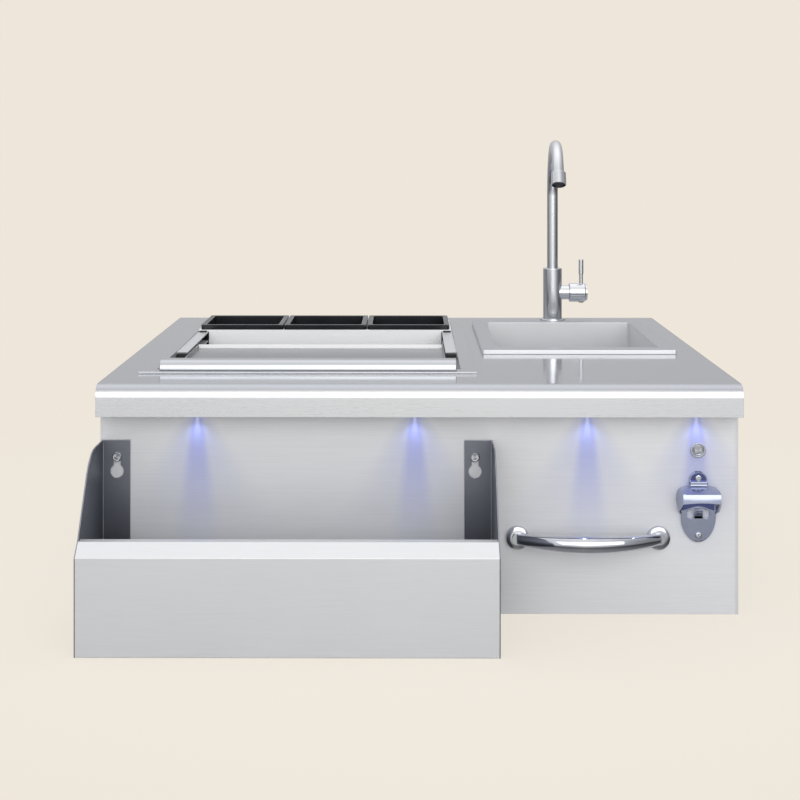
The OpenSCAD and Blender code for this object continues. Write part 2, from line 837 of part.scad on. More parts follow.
// The opener's hood or, drawn in by its wall and run out below, the space under it
module opener_hood(inset, run_down) {
    ridge = opener_ridge_w / 2 - inset;
    wide = opener_hood_w / 2 - inset;
    plate = opener_plate_w / 2 - inset;
    hull() {
        slab(-ridge, ridge, -opener_ridge_d, 0, -opener_shoulder_drop, -opener_ridge_drop - inset);
        slab(-wide, wide, -opener_t, 0, -opener_cheek_drop - run_down, -opener_shoulder_drop);
        slab(-wide, wide, -opener_hood_d + inset, -opener_ridge_d, -opener_lip_drop - run_down,
            -opener_shoulder_drop - inset);
        slab(-plate, plate, -opener_t, 0, -opener_mouth_drop - run_down, -opener_cheek_drop);
    }
}

// The slanting neck between the tab and the hood
module opener_neck() {
    tab = opener_tab_w / 2;
    hull() {
        slab(-tab, tab, -opener_t, 0, -opener_ridge_drop, -opener_neck_drop);
        slab(-tab, tab, -opener_ridge_d, 0, -opener_ridge_drop - opener_wall, -opener_ridge_drop);
    }
}

// The tooth that lifts the cap
module opener_tongue() {
    half = tongue_w / 2;
    root = opener_mouth_drop;
    tip_y = -opener_t - tongue_d;
    hull() {
        slab(-half, half, -opener_t, 0, -root - opener_wall, -root);
        slab(-half, half, tip_y, tip_y + opener_wall, -root + tongue_h - opener_wall, -root + tongue_h);
    }
}

// The opening of the mouth: a round ended slot at each side of the tongue, joined above its root
module opener_mouth() {
    cut_l = opener_t + 2 * over;
    r = opener_slot_w / 2;
    for (side = [-1, 1]) translate([side * opener_slot_x, 0, -opener_slot_low + r]) {
        facing_front() cylinder(h = cut_l, r = r);
        slab(-r, r, -cut_l, 0, 0, opener_slot_h);
    }
    slab(-opener_slot_x, opener_slot_x, -cut_l, 0, -opener_mouth_drop, -opener_slot_low + r + opener_slot_h);
}

module bottle_opener() {
    arch_r = (opener_hood_w * opener_hood_w / 4 + opener_arch * opener_arch) / (2 * opener_arch);
    screw_d = opener_screw_d + 2 * hole_gap;
    color("silver") translate([button_x, front_y, deck_z - opener_drop]) {
        difference() {
            union() {
                facing_front() linear_extrude(opener_t) opener_outline();
                opener_neck();
                difference() {
                    opener_hood(0, 0);
                    intersection() {
                        opener_hood(opener_wall, opener_h);
                        slab(-opener_hood_w, opener_hood_w, -opener_hood_d, -opener_t, -2 * opener_h, 0);
                    }
                    translate([0, -opener_hood_d + opener_wall, -opener_lip_drop + opener_arch - arch_r])
                        facing_front() cylinder(h = opener_wall + over, r = arch_r);
                }
            }
            translate([0, over, 0]) opener_mouth();
            for (z = [-opener_screw_in, -opener_h + opener_screw_in]) translate([0, over, z])
                facing_front() cylinder(h = opener_t + 2 * over, d = screw_d);
        }
        opener_tongue();
    }
}

module opener_screws() {
    color("gray") for (z = opener_screw_z()) translate([button_x, front_y - opener_t, z]) {
        facing_front() rounded_disc(opener_screw_head_d, opener_screw_head_t, opener_screw_head_t / 2);
        facing_back() cylinder(h = opener_screw_l, d = opener_screw_d);
    }
}

// An open box of a given wall and floor, as seen from outside
module tub(x0, x1, y0, y1, z0, z1, wall) {
    difference() {
        slab(x0, x1, y0, y1, z0, z1);
        slab(x0 + wall, x1 - wall, y0 + wall, y1 - wall, z0 + wall, z1 + over);
    }
}

// The bore through the bin's floor layers for the drain fitting
module ice_drain_bore(gap) {
    translate([bin_x, ice_drain_y, bin_z - jacket - over])
        cylinder(h = jacket + 2 * over, d = ice_drain_d + 2 * ice_drain_wall + 2 * gap);
}

module ice_bin_liner() {
    t = liner_t;
    color("silver") difference() {
        union() {
            tub(bin_x0 - t, bin_x1 + t, bin_y0 - t, bin_y1 + t, bin_z - t, deck_z + t, t);
            difference() {
                slab(bin_x0 - bin_flange_side, bin_x1 + bin_flange_side, bin_y0 - bin_flange_front,
                    bin_y1 + bin_flange_back, deck_z, deck_z + t);
                slab(bin_x0, bin_x1, bin_y0, bin_y1, deck_z - over, deck_z + t + over);
            }
        }
        ice_drain_bore(hole_gap);
    }
}

module ice_bin_insulation() {
    a = liner_t;
    b = liner_t + foam_t;
    color("khaki") difference() {
        slab(bin_x0 - b, bin_x1 + b, bin_y0 - b, bin_y1 + b, bin_z - b, under_z);
        slab(bin_x0 - a, bin_x1 + a, bin_y0 - a, bin_y1 + a, bin_z - a, under_z + over);
        ice_drain_bore(run_gap);
    }
}

module ice_bin_shell() {
    b = jacket;
    color("gray") difference() {
        tub(bin_x0 - b, bin_x1 + b, bin_y0 - b, bin_y1 + b, bin_z - b, under_z, liner_t);
        ice_drain_bore(hole_gap);
    }
}

module ice_drain_fitting() {
    tube_d = ice_drain_d + 2 * ice_drain_wall;
    color("gray") translate([bin_x, ice_drain_y, bin_z - ice_drain_l]) difference() {
        union() {
            cylinder(h = ice_tail_l, d = ice_tail_d);
            translate([0, 0, ice_tail_l]) cylinder(h = ice_drain_l - ice_tail_l, d = tube_d);
            translate([0, 0, ice_drain_l]) cylinder(h = ice_drain_flange_t, d = ice_drain_flange_d);
        }
        translate([0, 0, -over]) cylinder(h = ice_drain_l + ice_drain_flange_t + 2 * over, d = ice_drain_d);
    }
}

module ice_drain_nut() {
    tube_d = ice_drain_d + 2 * ice_drain_wall;
    color("dimgray") translate([bin_x, ice_drain_y, bin_z - jacket - ice_nut_t]) difference() {
        cylinder(h = ice_nut_t, d = ice_nut_d, $fn = 6);
        translate([0, 0, -over]) cylinder(h = ice_nut_t + 2 * over, d = tube_d);
    }
}

module ice_drain_plug() {
    color("black") translate([bin_x, ice_drain_y, bin_z + ice_drain_flange_t]) {
        translate([0, 0, -plug_l]) cylinder(h = plug_l + plug_head_t, d = plug_d);
        translate([0, 0, run_gap]) cylinder(h = plug_head_t, d = plug_head_d);
        translate([0, 0, plug_head_t]) rounded_disc(plug_knob_d, plug_knob_h, plug_knob_d / 4);
    }
}

// One guide rail, drawn as the left one: a channel that is open towards the lid
module guide_rail() {
    x0 = bin_x0;
    x1 = bin_x0 + guide_w;
    slab(x0, x0 + liner_t, guide_y0, guide_y1, deck_z - guide_h, deck_z);
    slab(x0, x1, guide_y0, guide_y1, deck_z - liner_t, deck_z);
    slab(x0, x1, guide_y0, guide_y1, deck_z - guide_h, deck_z - guide_h + liner_t);
}

module left_guide_rail() {
    color("gray") guide_rail();
}

module right_guide_rail() {
    color("gray") translate([2 * bin_x, 0, 0]) mirror([1, 0, 0]) guide_rail();
}

// The front bar's section: a bar with a rounded front edge. X is the way back
module bar_section(inset) {
    h = bar_top - bar_low;
    translate([inset, -over]) square([bar_d - 2 * inset, h - bar_r + over]);
    translate([bar_r, -over]) square([bar_d - bar_r - inset, h - inset + over]);
    translate([bar_r, h - bar_r]) circle(r = bar_r - inset);
}

module bar_end() {
    intersection() {
        bar_section(0);
        square([bar_d, bar_top - bar_low]);
    }
}

module ice_lid() {
    t = liner_t;
    x0 = bin_x - panel_w / 2;
    x1 = bin_x + panel_w / 2;
    bar_x0 = bin_x - bar_w / 2;
    color("silver") {
        across(bar_x0, bar_w, lid_y0, deck_z + bar_low) difference() {
            bar_end();
            bar_section(t);
        }
        for (x = [bar_x0, bar_x0 + bar_w - t]) across(x, t, lid_y0, deck_z + bar_low) bar_end();
        slab(x0, x1, lid_web_y - t, lid_web_y, panel_z - t, deck_z + bar_low + t);
        slab(x0, x1, lid_web_y - t, lid_y1, panel_z - t, panel_z);
        slab(x0, x1, lid_y1 - t, lid_y1, panel_z - t, panel_z + lid_lip_h);
        for (x = [x0, x1 - t]) slab(x, x + t, lid_y1 - runner_l, lid_y1, panel_z - t, panel_z + lid_lip_h);
    }
}

module lid_runners() {
    x0 = bin_x0 + liner_t + run_gap;
    x1 = bin_x - panel_w / 2;
    color("black") for (flip = [0, 1]) translate([2 * bin_x * flip, 0, 0]) mirror([flip, 0, 0])
        slab(x0, x1, lid_y1 - runner_l, lid_y1, deck_z - guide_h + liner_t + run_gap,
            deck_z - liner_t - run_gap);
}

module caddy() {
    t = liner_t;
    hole_w = tray_w - 2 * body_in + 2 * tray_fit;
    hole_l = tray_l - 2 * body_in + 2 * tray_fit;
    x0 = bin_x - caddy_half_w;
    x1 = bin_x + caddy_half_w;
    front_x0 = bin_x0 + guide_w + caddy_gap;
    front_x1 = bin_x1 - guide_w - caddy_gap;
    skirt_y0 = guide_y1 + caddy_gap;
    color("silver") difference() {
        union() {
            slab(x0, x1, caddy_y0, caddy_y1, caddy_z - t, caddy_z);
            slab(x0, x1, caddy_y0, caddy_y0 + t, deck_z + run_gap, caddy_z);
            slab(front_x0, front_x1, caddy_y0, caddy_y0 + t, deck_z - caddy_front_h, caddy_z);
            for (x = [x0, x1 - t]) slab(x, x + t, skirt_y0, caddy_y1, caddy_z - caddy_skirt_h, caddy_z);
        }
        for (i = [-1:1]) translate([bin_x + i * tray_pitch, 0, 0])
            slab(-hole_w / 2, hole_w / 2, tray_y0 + body_in - tray_fit, tray_y0 + body_in - tray_fit + hole_l,
                caddy_z - t - over, caddy_z + over);
    }
}

// Pads that stand on the guide rails' rear ends and carry the caddy's front
module caddy_feet() {
    x0 = bin_x0 + (guide_w - foot_w) / 2;
    color("black") for (flip = [0, 1]) translate([2 * bin_x * flip, 0, 0]) mirror([flip, 0, 0]) {
        slab(x0, x0 + foot_w, caddy_y0 - foot_out, caddy_y0, deck_z, caddy_z - liner_t);
        slab(x0, x0 + foot_w, caddy_y0 - foot_out, caddy_y0 - foot_out + foot_l, deck_z, deck_z + run_gap);
        slab(x0, x0 + foot_w, caddy_y0 + liner_t, caddy_y0 - foot_out + foot_l, deck_z, caddy_z - liner_t);
    }
}

// The ledge on the liner's rear wall that carries the caddy's back
module caddy_ledge() {
    z1 = caddy_z - liner_t;
    inner = bin_w / 2 - caddy_gap - liner_t - caddy_gap;
    color("gray") {
        slab(bin_x - inner, bin_x + inner, bin_y1 - ledge_w, bin_y1, z1 - liner_t, z1);
        slab(bin_x - inner, bin_x + inner, bin_y1 - liner_t, bin_y1, z1 - ledge_h, z1);
    }
}

// One tray: a rim round a tub that hangs through the caddy's plate
module tray(i) {
    x0 = bin_x + i * tray_pitch - tray_w / 2;
    x1 = x0 + tray_w;
    y1 = tray_y0 + tray_l;
    z1 = tray_z + rim_h;
    difference() {
        union() {
            slab(x0, x1, tray_y0, y1, tray_z, z1);
            slab(x0 + body_in, x1 - body_in, tray_y0 + body_in, y1 - body_in, tray_z - tray_depth, z1);
        }
        slab(x0 + rim_w, x1 - rim_w, tray_y0 + rim_w, y1 - rim_w, tray_z - tray_depth + tray_t, z1 + over);
    }
}

module tray_left() {
    color("black") tray(-1);
}

module tray_middle() {
    color("black") tray(0);
}

module tray_right() {
    color("black") tray(1);
}

module sink_bowl() {
    t = bowl_t;
    rim_x0 = sink_x - sink_rim_w / 2;
    rim_x1 = sink_x + sink_rim_w / 2;
    color("gainsboro") difference() {
        union() {
            slab(rim_x0, rim_x1, sink_y0, sink_y0 + sink_rim_l, deck_z, sink_top);
            slab(bowl_x0 - t, bowl_x1 + t, bowl_y0 - t, bowl_y0 + bowl_l + t, bowl_z - t, sink_top);
        }
        difference() {
            slab(rim_x0 + t, rim_x1 - t, sink_y0 + t, sink_y0 + sink_rim_l - t, deck_z - over, sink_top - t);
            slab(bowl_x0 - t, bowl_x1 + t, bowl_y0 - t, bowl_y0 + bowl_l + t, bowl_z - t, sink_top);
        }
        slab(bowl_x0, bowl_x1, bowl_y0, bowl_y0 + bowl_l, bowl_z, sink_top + over);
        translate([sink_x, bowl_y, bowl_z - t - over])
            cylinder(h = t + 2 * over, d = drain_cup_d + 2 * drain_wall + 2 * hole_gap);
    }
}

// One clip that holds the bowl up against the worktop's underside, at the bowl's left wall
module sink_clip() {
    gap = bowl_t + drop_gap;
    slab(-gap - clip_l, -bowl_t, 0, clip_w, under_z - clip_t, under_z);
    slab(-bowl_t - clip_t, -bowl_t, 0, clip_w, under_z - clip_h, under_z);
}

module sink_clips() {
    places = [bowl_y0 + bowl_l / 4 - clip_w / 2, bowl_y0 + bowl_l * 3 / 4 - clip_w / 2];
    color("gray") for (y = places, flip = [0, 1])
        translate([sink_x, y, 0]) mirror([flip, 0, 0]) translate([-bowl_w / 2, 0, 0]) sink_clip();
}

module sink_drain_cup() {
    cup_d = drain_cup_d + 2 * drain_wall;
    color("silver") translate([sink_x, bowl_y, 0]) difference() {
        union() {
            translate([0, 0, bowl_z]) cylinder(h = drain_flange_t, d = drain_flange_d);
            translate([0, 0, cup_floor_z]) cylinder(h = drain_cup_h, d = cup_d);
            translate([0, 0, spigot_z]) cylinder(h = drain_spigot_h, d = drain_outlet_d + 2 * drain_wall);
        }
        translate([0, 0, cup_floor_z + drain_wall])
            cylinder(h = drain_cup_h + drain_flange_t, d = drain_cup_d);
        translate([0, 0, spigot_z - over]) cylinder(h = drain_cup_h, d = drain_outlet_d);
    }
}

module sink_drain_gasket() {
    cup_d = drain_cup_d + 2 * drain_wall;
    color("dimgray") translate([sink_x, bowl_y, bowl_z - bowl_t - gasket_t])
        pipe(drain_flange_d, cup_d, gasket_t);
}

module sink_drain_nut() {
    cup_d = drain_cup_d + 2 * drain_wall;
    color("gray") translate([sink_x, bowl_y, bowl_z - bowl_t - gasket_t - drain_nut_t])
        pipe(cup_d + 2 * drain_nut_w, cup_d, drain_nut_t);
}

module sink_drain_tail() {
    bore = drain_tail_d - 2 * tail_wall;
    color("silver") translate([sink_x, bowl_y, tail_z]) {
        pipe(drain_tail_d, bore, tail_l - tail_flare_h);
        translate([0, 0, tail_l - tail_flare_h]) pipe(tail_flare_d, bore, tail_flare_h);
    }
}

// The nut that draws the tail's end against the cup's spigot
module sink_tail_nut() {
    color("silver") translate([sink_x, bowl_y, spigot_z]) {
        pipe(tail_nut_d, drain_outlet_d + 2 * drain_wall, tail_nut_t);
        translate([0, 0, -tail_flare_h]) pipe(tail_nut_d, tail_flare_d, tail_flare_h);
    }
}

module sink_strainer() {
    basket_d = drain_cup_d - 2 * run_gap - 2 * drain_wall;
    rim_z = bowl_z + drain_flange_t + run_gap;
    color("silver") translate([sink_x, bowl_y, rim_z - strainer_h]) {
        difference() {
            union() {
                cylinder(h = strainer_h, d = basket_d);
                translate([0, 0, strainer_h]) cylinder(h = strainer_t, d = strainer_rim_d);
            }
            translate([0, 0, strainer_t]) cylinder(h = strainer_h + over, d = basket_d - 2 * strainer_t);
            for (i = [0:strainer_holes - 1]) rotate([0, 0, 360 * i / strainer_holes])
                translate([basket_d / 2 * strainer_ring_share, 0, -over])
                    cylinder(h = strainer_t + 2 * over, d = strainer_hole_d);
        }
        cylinder(h = strainer_post_h, d = strainer_post_d);
        translate([0, 0, strainer_post_h - strainer_knob_t])
            rounded_disc(strainer_knob_d, strainer_knob_t, strainer_knob_t / 3);
    }
}

module tap_base_flange() {
    color("silver") translate([tap_x, tap_y, deck_z]) difference() {
        rounded_disc(tap_flange_d, tap_flange_t, tap_round);
        translate([0, 0, -over]) cylinder(h = tap_flange_t + 2 * over, d = shank_d);
    }
}

// The body with its side arm, the spout's bore and the cartridge's bore
module tap_body() {
    arm_end = hub_in + hub_pocket - run_gap;
    color("silver") translate([tap_x, tap_y, deck_z]) difference() {
        union() {
            translate([0, 0, tap_flange_t]) rounded_disc(tap_body_d, tap_body_h - tap_flange_t, tap_round);
            translate([0, 0, arm_h]) rotate([0, 90, 0]) cylinder(h = arm_end, d = arm_d);
        }
        translate([0, 0, neck_end_h - run_gap]) cylinder(h = tap_body_h, d = tap_bore_d);
        translate([cartridge_in, 0, arm_h]) rotate([0, 90, 0]) cylinder(h = arm_end, d = cartridge_d);
    }
}

module tap_cartridge() {
    arm_end = hub_in + hub_pocket - run_gap;
    color("gray") translate([tap_x + cartridge_in, tap_y, deck_z + arm_h]) rotate([0, 90, 0]) difference() {
        cylinder(h = arm_end - cartridge_in - cartridge_out, d = cartridge_d);
        translate([0, 0, cartridge_out])
            cylinder(h = arm_end, d = spindle_d + 2 * turn_gap);
    }
}

// The spindle that the lever hub turns
module tap_spindle() {
    color("gray") translate([tap_x + hub_in + hub_pocket - spindle_l / 2, tap_y, deck_z + arm_h])
        rotate([0, 90, 0]) cylinder(h = spindle_l, d = spindle_d);
}

module tap_shank() {
    end_l = shank_l - washer_t - tap_nut_t;
    color("gray") translate([tap_x, tap_y, under_z - shank_l]) {
        pipe(shank_end_d, shank_bore_d, end_l);
        translate([0, 0, end_l]) pipe(shank_d, shank_bore_d, shank_l - end_l + deck_t + tap_flange_t);
    }
}

module tap_washer() {
    color("black") translate([tap_x, tap_y, under_z - washer_t]) pipe(tap_flange_d, shank_d, washer_t);
}

module tap_nut() {
    color("gray") translate([tap_x, tap_y, under_z - washer_t - tap_nut_t]) difference() {
        cylinder(h = tap_nut_t, d = shank_d + 2 * nut_w + nut_w, $fn = 6);
        translate([0, 0, -over]) cylinder(h = tap_nut_t + 2 * over, d = shank_d);
    }
}

// Places its children at the end of the gooseneck, where z runs along the water's way
module at_spout_end() {
    translate([0, -spout_r, arc_z]) rotate([spout_bend - 180, 0, 0]) translate([0, -spout_r, 0])
        mirror([0, 0, 1]) children();
}

module tap_spout() {
    bore = spout_d - 2 * tray_t;
    color("silver") translate([tap_x, tap_y, deck_z]) rotate([0, 0, -spout_turn]) {
        translate([0, 0, neck_end_h]) pipe(spout_d, bore, arc_z - neck_end_h);
        translate([0, -spout_r, arc_z]) rotate([0, 90, 0]) rotate([0, 0, 90])
            rotate_extrude(angle = spout_bend) translate([spout_r, 0]) difference() {
                circle(d = spout_d);
                circle(d = bore);
            }
    }
}

module spout_bush() {
    color("white") translate([tap_x, tap_y, deck_z + neck_end_h])
        pipe(tap_bore_d, spout_d + 2 * turn_gap, tap_body_h - neck_end_h - tap_round);
}

module spout_aerator() {
    color("silver") translate([tap_x, tap_y, deck_z]) rotate([0, 0, -spout_turn]) at_spout_end()
        difference() {
            rounded_disc(aerator_d, aerator_l, tap_round / 2);
            translate([0, 0, aerator_l - aerator_face_in]) cylinder(h = aerator_l, d = aerator_d - 2 * tray_t);
        }
}

// The hub: a cap over the arm's end, with a bevelled near edge and a rounded far end
module tap_lever_hub() {
    color("silver") translate([tap_x + hub_in, tap_y, deck_z + arm_h]) difference() {
        rotate([0, 90, 0]) intersection() {
            rounded_disc(tap_body_d, hub_l, hub_round);
            rotate_extrude() polygon([[0, 0], [tap_body_d / 2 - hub_bevel, 0], [tap_body_d / 2, hub_bevel],
                [tap_body_d / 2, hub_l], [0, hub_l]]);
        }
        translate([-over, 0, 0]) rotate([0, 90, 0]) cylinder(h = hub_pocket + over, d = arm_d + 2 * run_gap);
        rotate([0, 90, 0]) cylinder(h = hub_pocket + spindle_l / 2, d = spindle_d);
        translate([rod_in - hub_in, 0, tap_body_d / 2 - rod_sink]) cylinder(h = tap_body_d, d = rod_low_d);
        translate([rod_in - hub_in, 0, -tap_body_d / 2 - over]) cylinder(h = screw_l + over, d = set_screw_d);
    }
}

module tap_lever_rod() {
    low_z = arm_h + tap_body_d / 2 - rod_sink;
    color("silver") translate([tap_x + rod_in, tap_y, deck_z]) {
        translate([0, 0, low_z]) cylinder(h = rod_step_h - low_z, d = rod_low_d);
        translate([0, 0, rod_step_h]) rounded_disc(rod_top_d, rod_top_h - rod_step_h, tap_round / 2);
    }
}

module tap_set_screw() {
    color("gray") translate([tap_x + rod_in, tap_y, deck_z + arm_h - tap_body_d / 2]) {
        cylinder(h = screw_l, d = set_screw_d);
        mirror([0, 0, 1]) rounded_disc(screw_cap_d, screw_cap_h, screw_cap_h / 2);
    }
}

deck_top();
front_panel();
left_side_panel();
right_side_panel();
back_panel();
bottom_panel();
rail_studs();
stud_nuts();
light_housings();
light_lenses();
button_bezel();
button_nut();
light_button();
power_inlet();
bottle_rail();
towel_bar();
towel_bar_rosettes();
towel_bar_screws();
bottle_opener();
opener_screws();
ice_bin_liner();
ice_bin_insulation();
ice_bin_shell();
ice_drain_fitting();
ice_drain_nut();
ice_drain_plug();
left_guide_rail();
right_guide_rail();
ice_lid();
lid_runners();
caddy();
caddy_feet();
caddy_ledge();
tray_left();
tray_middle();
tray_right();
sink_bowl();
sink_clips();
sink_drain_cup();
sink_drain_gasket();
sink_drain_nut();
sink_drain_tail();
sink_tail_nut();
sink_strainer();
tap_base_flange();
tap_body();
tap_cartridge();
tap_spindle();
tap_shank();
tap_washer();
tap_nut();
tap_spout();
spout_bush();
spout_aerator();
tap_lever_hub();
tap_lever_rod();
tap_set_screw();
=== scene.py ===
"""Bar sink with ice bin: the looks of its pieces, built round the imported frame.

Sizes are in millimetres where a name ends in _mm or a class says so, and Blender's own values are in metres.
"""

import logging
import math
from dataclasses import dataclass, field
from enum import Enum
from typing import Callable, Iterator, Sequence

import bmesh
import bpy
from mathutils import Matrix, Vector


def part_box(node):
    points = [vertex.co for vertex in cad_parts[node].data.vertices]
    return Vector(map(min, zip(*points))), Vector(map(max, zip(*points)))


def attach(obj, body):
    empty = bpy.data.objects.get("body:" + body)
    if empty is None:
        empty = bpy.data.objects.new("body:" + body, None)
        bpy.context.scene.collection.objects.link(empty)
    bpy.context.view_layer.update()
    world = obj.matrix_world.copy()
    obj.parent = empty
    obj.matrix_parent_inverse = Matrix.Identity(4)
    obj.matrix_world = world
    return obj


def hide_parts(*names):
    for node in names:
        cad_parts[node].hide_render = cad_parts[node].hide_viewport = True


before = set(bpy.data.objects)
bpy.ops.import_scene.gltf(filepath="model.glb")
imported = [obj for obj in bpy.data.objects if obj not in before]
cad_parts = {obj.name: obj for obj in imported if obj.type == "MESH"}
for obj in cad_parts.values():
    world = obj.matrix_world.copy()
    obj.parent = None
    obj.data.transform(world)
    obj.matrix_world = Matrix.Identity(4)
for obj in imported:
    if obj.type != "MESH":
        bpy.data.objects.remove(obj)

MM = 0.001
LOG = logging.getLogger("bar_sink")
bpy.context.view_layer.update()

Point = tuple[float, float, float]
FaceTest = Callable[[Vector, Vector], bool]
EdgeTest = Callable[[Vector, Vector], bool]
VertTest = Callable[[Vector], bool]


FRONT_Y = -314.75
LIP_Y = -345.25
DECK_Z = 278.0
LENS_Z = 238.4
LAMPS_X = (-265.0, -5.0, 201.0, 331.0)


class Axis(Enum):
    """The three directions that a round piece can stand along."""

    X = "x"
    Y = "y"
    Z = "z"

    @property
    def turn(self) -> Point:
        """The rotation that lays a shape drawn along Z along this axis."""
        return {"x": (0.0, math.pi / 2, 0.0), "y": (math.pi / 2, 0.0, 0.0), "z": (0.0, 0.0, 0.0)}[self.value]


class Grain(Enum):
    """The way that a brushed sheet's grain runs, as how much each axis stretches the noise."""

    ALONG_X = (0.012, 1.0, 1.0)
    ALONG_Y = (1.0, 0.012, 1.0)
    ALONG_Z = (1.0, 1.0, 0.012)
    NONE = (1.0, 1.0, 1.0)


# Modelling
class Bench:
    """One mesh that is shaped with Blender's own operators. Its sizes are in millimetres."""

    def __init__(self, piece: bpy.types.Object, name: str) -> None:
        """Takes the primitive that was just added, names it and puts its place in its mesh.

        Args:
            piece: the new object.
            name: the piece's name.
        """
        piece.name = name
        piece.data.name = name
        self.piece = piece
        bpy.ops.object.transform_apply(location=True, rotation=True, scale=True)

    @staticmethod
    def _clear() -> None:
        """Leaves edit mode and deselects everything."""
        if bpy.context.object and bpy.context.object.mode != "OBJECT":
            bpy.ops.object.mode_set(mode="OBJECT")
        bpy.ops.object.select_all(action="DESELECT")

    @classmethod
    def box(cls, name: str, low: Point, high: Point) -> "Bench":
        """A box between two corners.

        Args:
            name: the piece's name.
            low: its lowest corner.
            high: its highest corner.

        Returns:
            The bench that holds it.
        """
        cls._clear()
        middle = [(a + b) / 2 * MM for a, b in zip(low, high)]
        bpy.ops.mesh.primitive_cube_add(size=1.0, location=middle)
        bpy.context.object.scale = [(b - a) * MM for a, b in zip(low, high)]
        return cls(bpy.context.object, name)

    @classmethod
    def rod(cls, name: str, radius: float, length: float, start: Point, axis: Axis, sides: int = 48) -> "Bench":
        """A closed cylinder.

        Args:
            name: the piece's name.
            radius: its radius.
            length: its length, which may be negative to run the other way.
            start: the middle of its first end.
            axis: the axis that it runs along.
            sides: how many sides it has.

        Returns:
            The bench that holds it.
        """
        cls._clear()
        step = Vector((axis is Axis.X, axis is Axis.Y, axis is Axis.Z)) * length / 2
        bpy.ops.mesh.primitive_cylinder_add(vertices=sides, radius=radius * MM, depth=abs(length) * MM,
                                            location=(Vector(start) + step) * MM, rotation=axis.turn)
        return cls(bpy.context.object, name)

    @classmethod
    def disc(cls, name: str, radius: float, centre: Point, axis: Axis, sides: int = 48) -> "Bench":
        """A flat round face.

        Args:
            name: the piece's name.
            radius: its radius.
            centre: its middle.
            axis: the axis that it faces along.
            sides: how many sides it has.

        Returns:
            The bench that holds it.
        """
        cls._clear()
        bpy.ops.mesh.primitive_circle_add(vertices=sides, radius=radius * MM, fill_type="NGON",
                                          location=Vector(centre) * MM, rotation=axis.turn)
        return cls(bpy.context.object, name)

    def __enter__(self) -> "Bench":
        """Goes into edit mode with nothing selected."""
        self._clear()
        self.piece.select_set(True)
        bpy.context.view_layer.objects.active = self.piece
        bpy.ops.object.mode_set(mode="EDIT")
        bpy.ops.mesh.select_all(action="DESELECT")
        return self

    def __exit__(self, *_: object) -> None:
        """Leaves edit mode."""
        bpy.ops.object.mode_set(mode="OBJECT")

    def _select(self, mode: str, kind: str, test: Callable[..., bool], keep: bool) -> int:
        """Selects the faces, edges or points that pass a test of their places in millimetres."""
        bpy.ops.mesh.select_mode(type=mode)
        mesh = bmesh.from_edit_mesh(self.piece.data)
        if not keep:
            bpy.ops.mesh.select_all(action="DESELECT")
        count = 0
        for item in getattr(mesh, kind):
            if kind == "faces":
                hit = test(item.calc_center_median() / MM, item.normal)
            elif kind == "edges":
                hit = test(item.verts[0].co / MM, item.verts[1].co / MM)
            else:
                hit = test(item.co / MM)
            if hit:
                item.select_set(True)
                count += 1
        mesh.select_flush_mode()
        bmesh.update_edit_mesh(self.piece.data)
        return count

    def faces(self, test: FaceTest, keep: bool = False) -> "Bench":
        """Selects the faces whose middle and normal pass a test."""
        self._select("FACE", "faces", test, keep)
        return self

    def edges(self, test: EdgeTest, keep: bool = False) -> "Bench":
        """Selects the edges whose two ends pass a test."""
        self._select("EDGE", "edges", test, keep)
        return self

    def verts(self, test: VertTest, keep: bool = False) -> "Bench":
        """Selects the points that pass a test."""
        self._select("VERT", "verts", test, keep)
        return self

    def extrude(self, by: Point) -> "Bench":
        """Extrudes what is selected by a step in millimetres."""
        bpy.ops.mesh.extrude_region_move(TRANSFORM_OT_translate={"value": Vector(by) * MM})
        return self

    def move(self, by: Point) -> "Bench":
        """Moves what is selected by a step in millimetres."""
        bpy.ops.transform.translate(value=Vector(by) * MM)
        return self

    def resize(self, by: Point, about: Point) -> "Bench":
        """Scales what is selected about a point."""
        bpy.ops.transform.resize(value=by, center_override=Vector(about) * MM)
        return self

    def turn(self, degrees: float, axis: Axis, about: Point) -> "Bench":
        """Turns what is selected about a point, the same way round as an object's own rotation."""
        bpy.ops.transform.rotate(value=-math.radians(degrees), orient_axis=axis.name, orient_type="GLOBAL",
                                 center_override=Vector(about) * MM)
        return self

    def widen(self, half: float, x: float) -> "Bench":
        """Makes what is selected reach a half width from an upright plane at x."""
        chosen = [v.co.x / MM - x for v in bmesh.from_edit_mesh(self.piece.data).verts if v.select]
        return self.resize((half / max(abs(c) for c in chosen), 1, 1), (x, 0, 0))

    def inset(self, by: float, depth: float = 0.0) -> "Bench":
        """Insets the selected faces and moves the inner ones along their normals."""
        bpy.ops.mesh.inset(thickness=by * MM, depth=depth * MM, use_even_offset=True)
        return self

    def bevel(self, width: float, segments: int = 3) -> "Bench":
        """Rounds the selected edges."""
        bpy.ops.mesh.bevel(offset=width * MM, segments=segments, affect="EDGES", clamp_overlap=True)
        return self

    def cut(self, at: Point, normal: Point) -> "Bench":
        """Cuts the whole mesh along a plane and keeps both sides."""
        bpy.ops.mesh.select_all(action="SELECT")
        bpy.ops.mesh.bisect(plane_co=Vector(at) * MM, plane_no=normal)
        bpy.ops.mesh.select_all(action="DESELECT")
        return self

    def drop(self, kind: str = "FACE") -> "Bench":
        """Deletes the selected faces, edges or points."""
        bpy.ops.mesh.delete(type=kind)
        return self

    def bridge(self) -> "Bench":
        """Joins two selected loops with faces."""
        bpy.ops.mesh.bridge_edge_loops()
        return self

    def heal(self) -> "Bench":
        """Merges doubled points and turns every face outwards."""
        bpy.ops.mesh.select_all(action="SELECT")
        bpy.ops.mesh.remove_doubles(threshold=0.002 * MM)
        bpy.ops.mesh.normals_make_consistent(inside=False)
        bpy.ops.mesh.select_all(action="DESELECT")
        return self

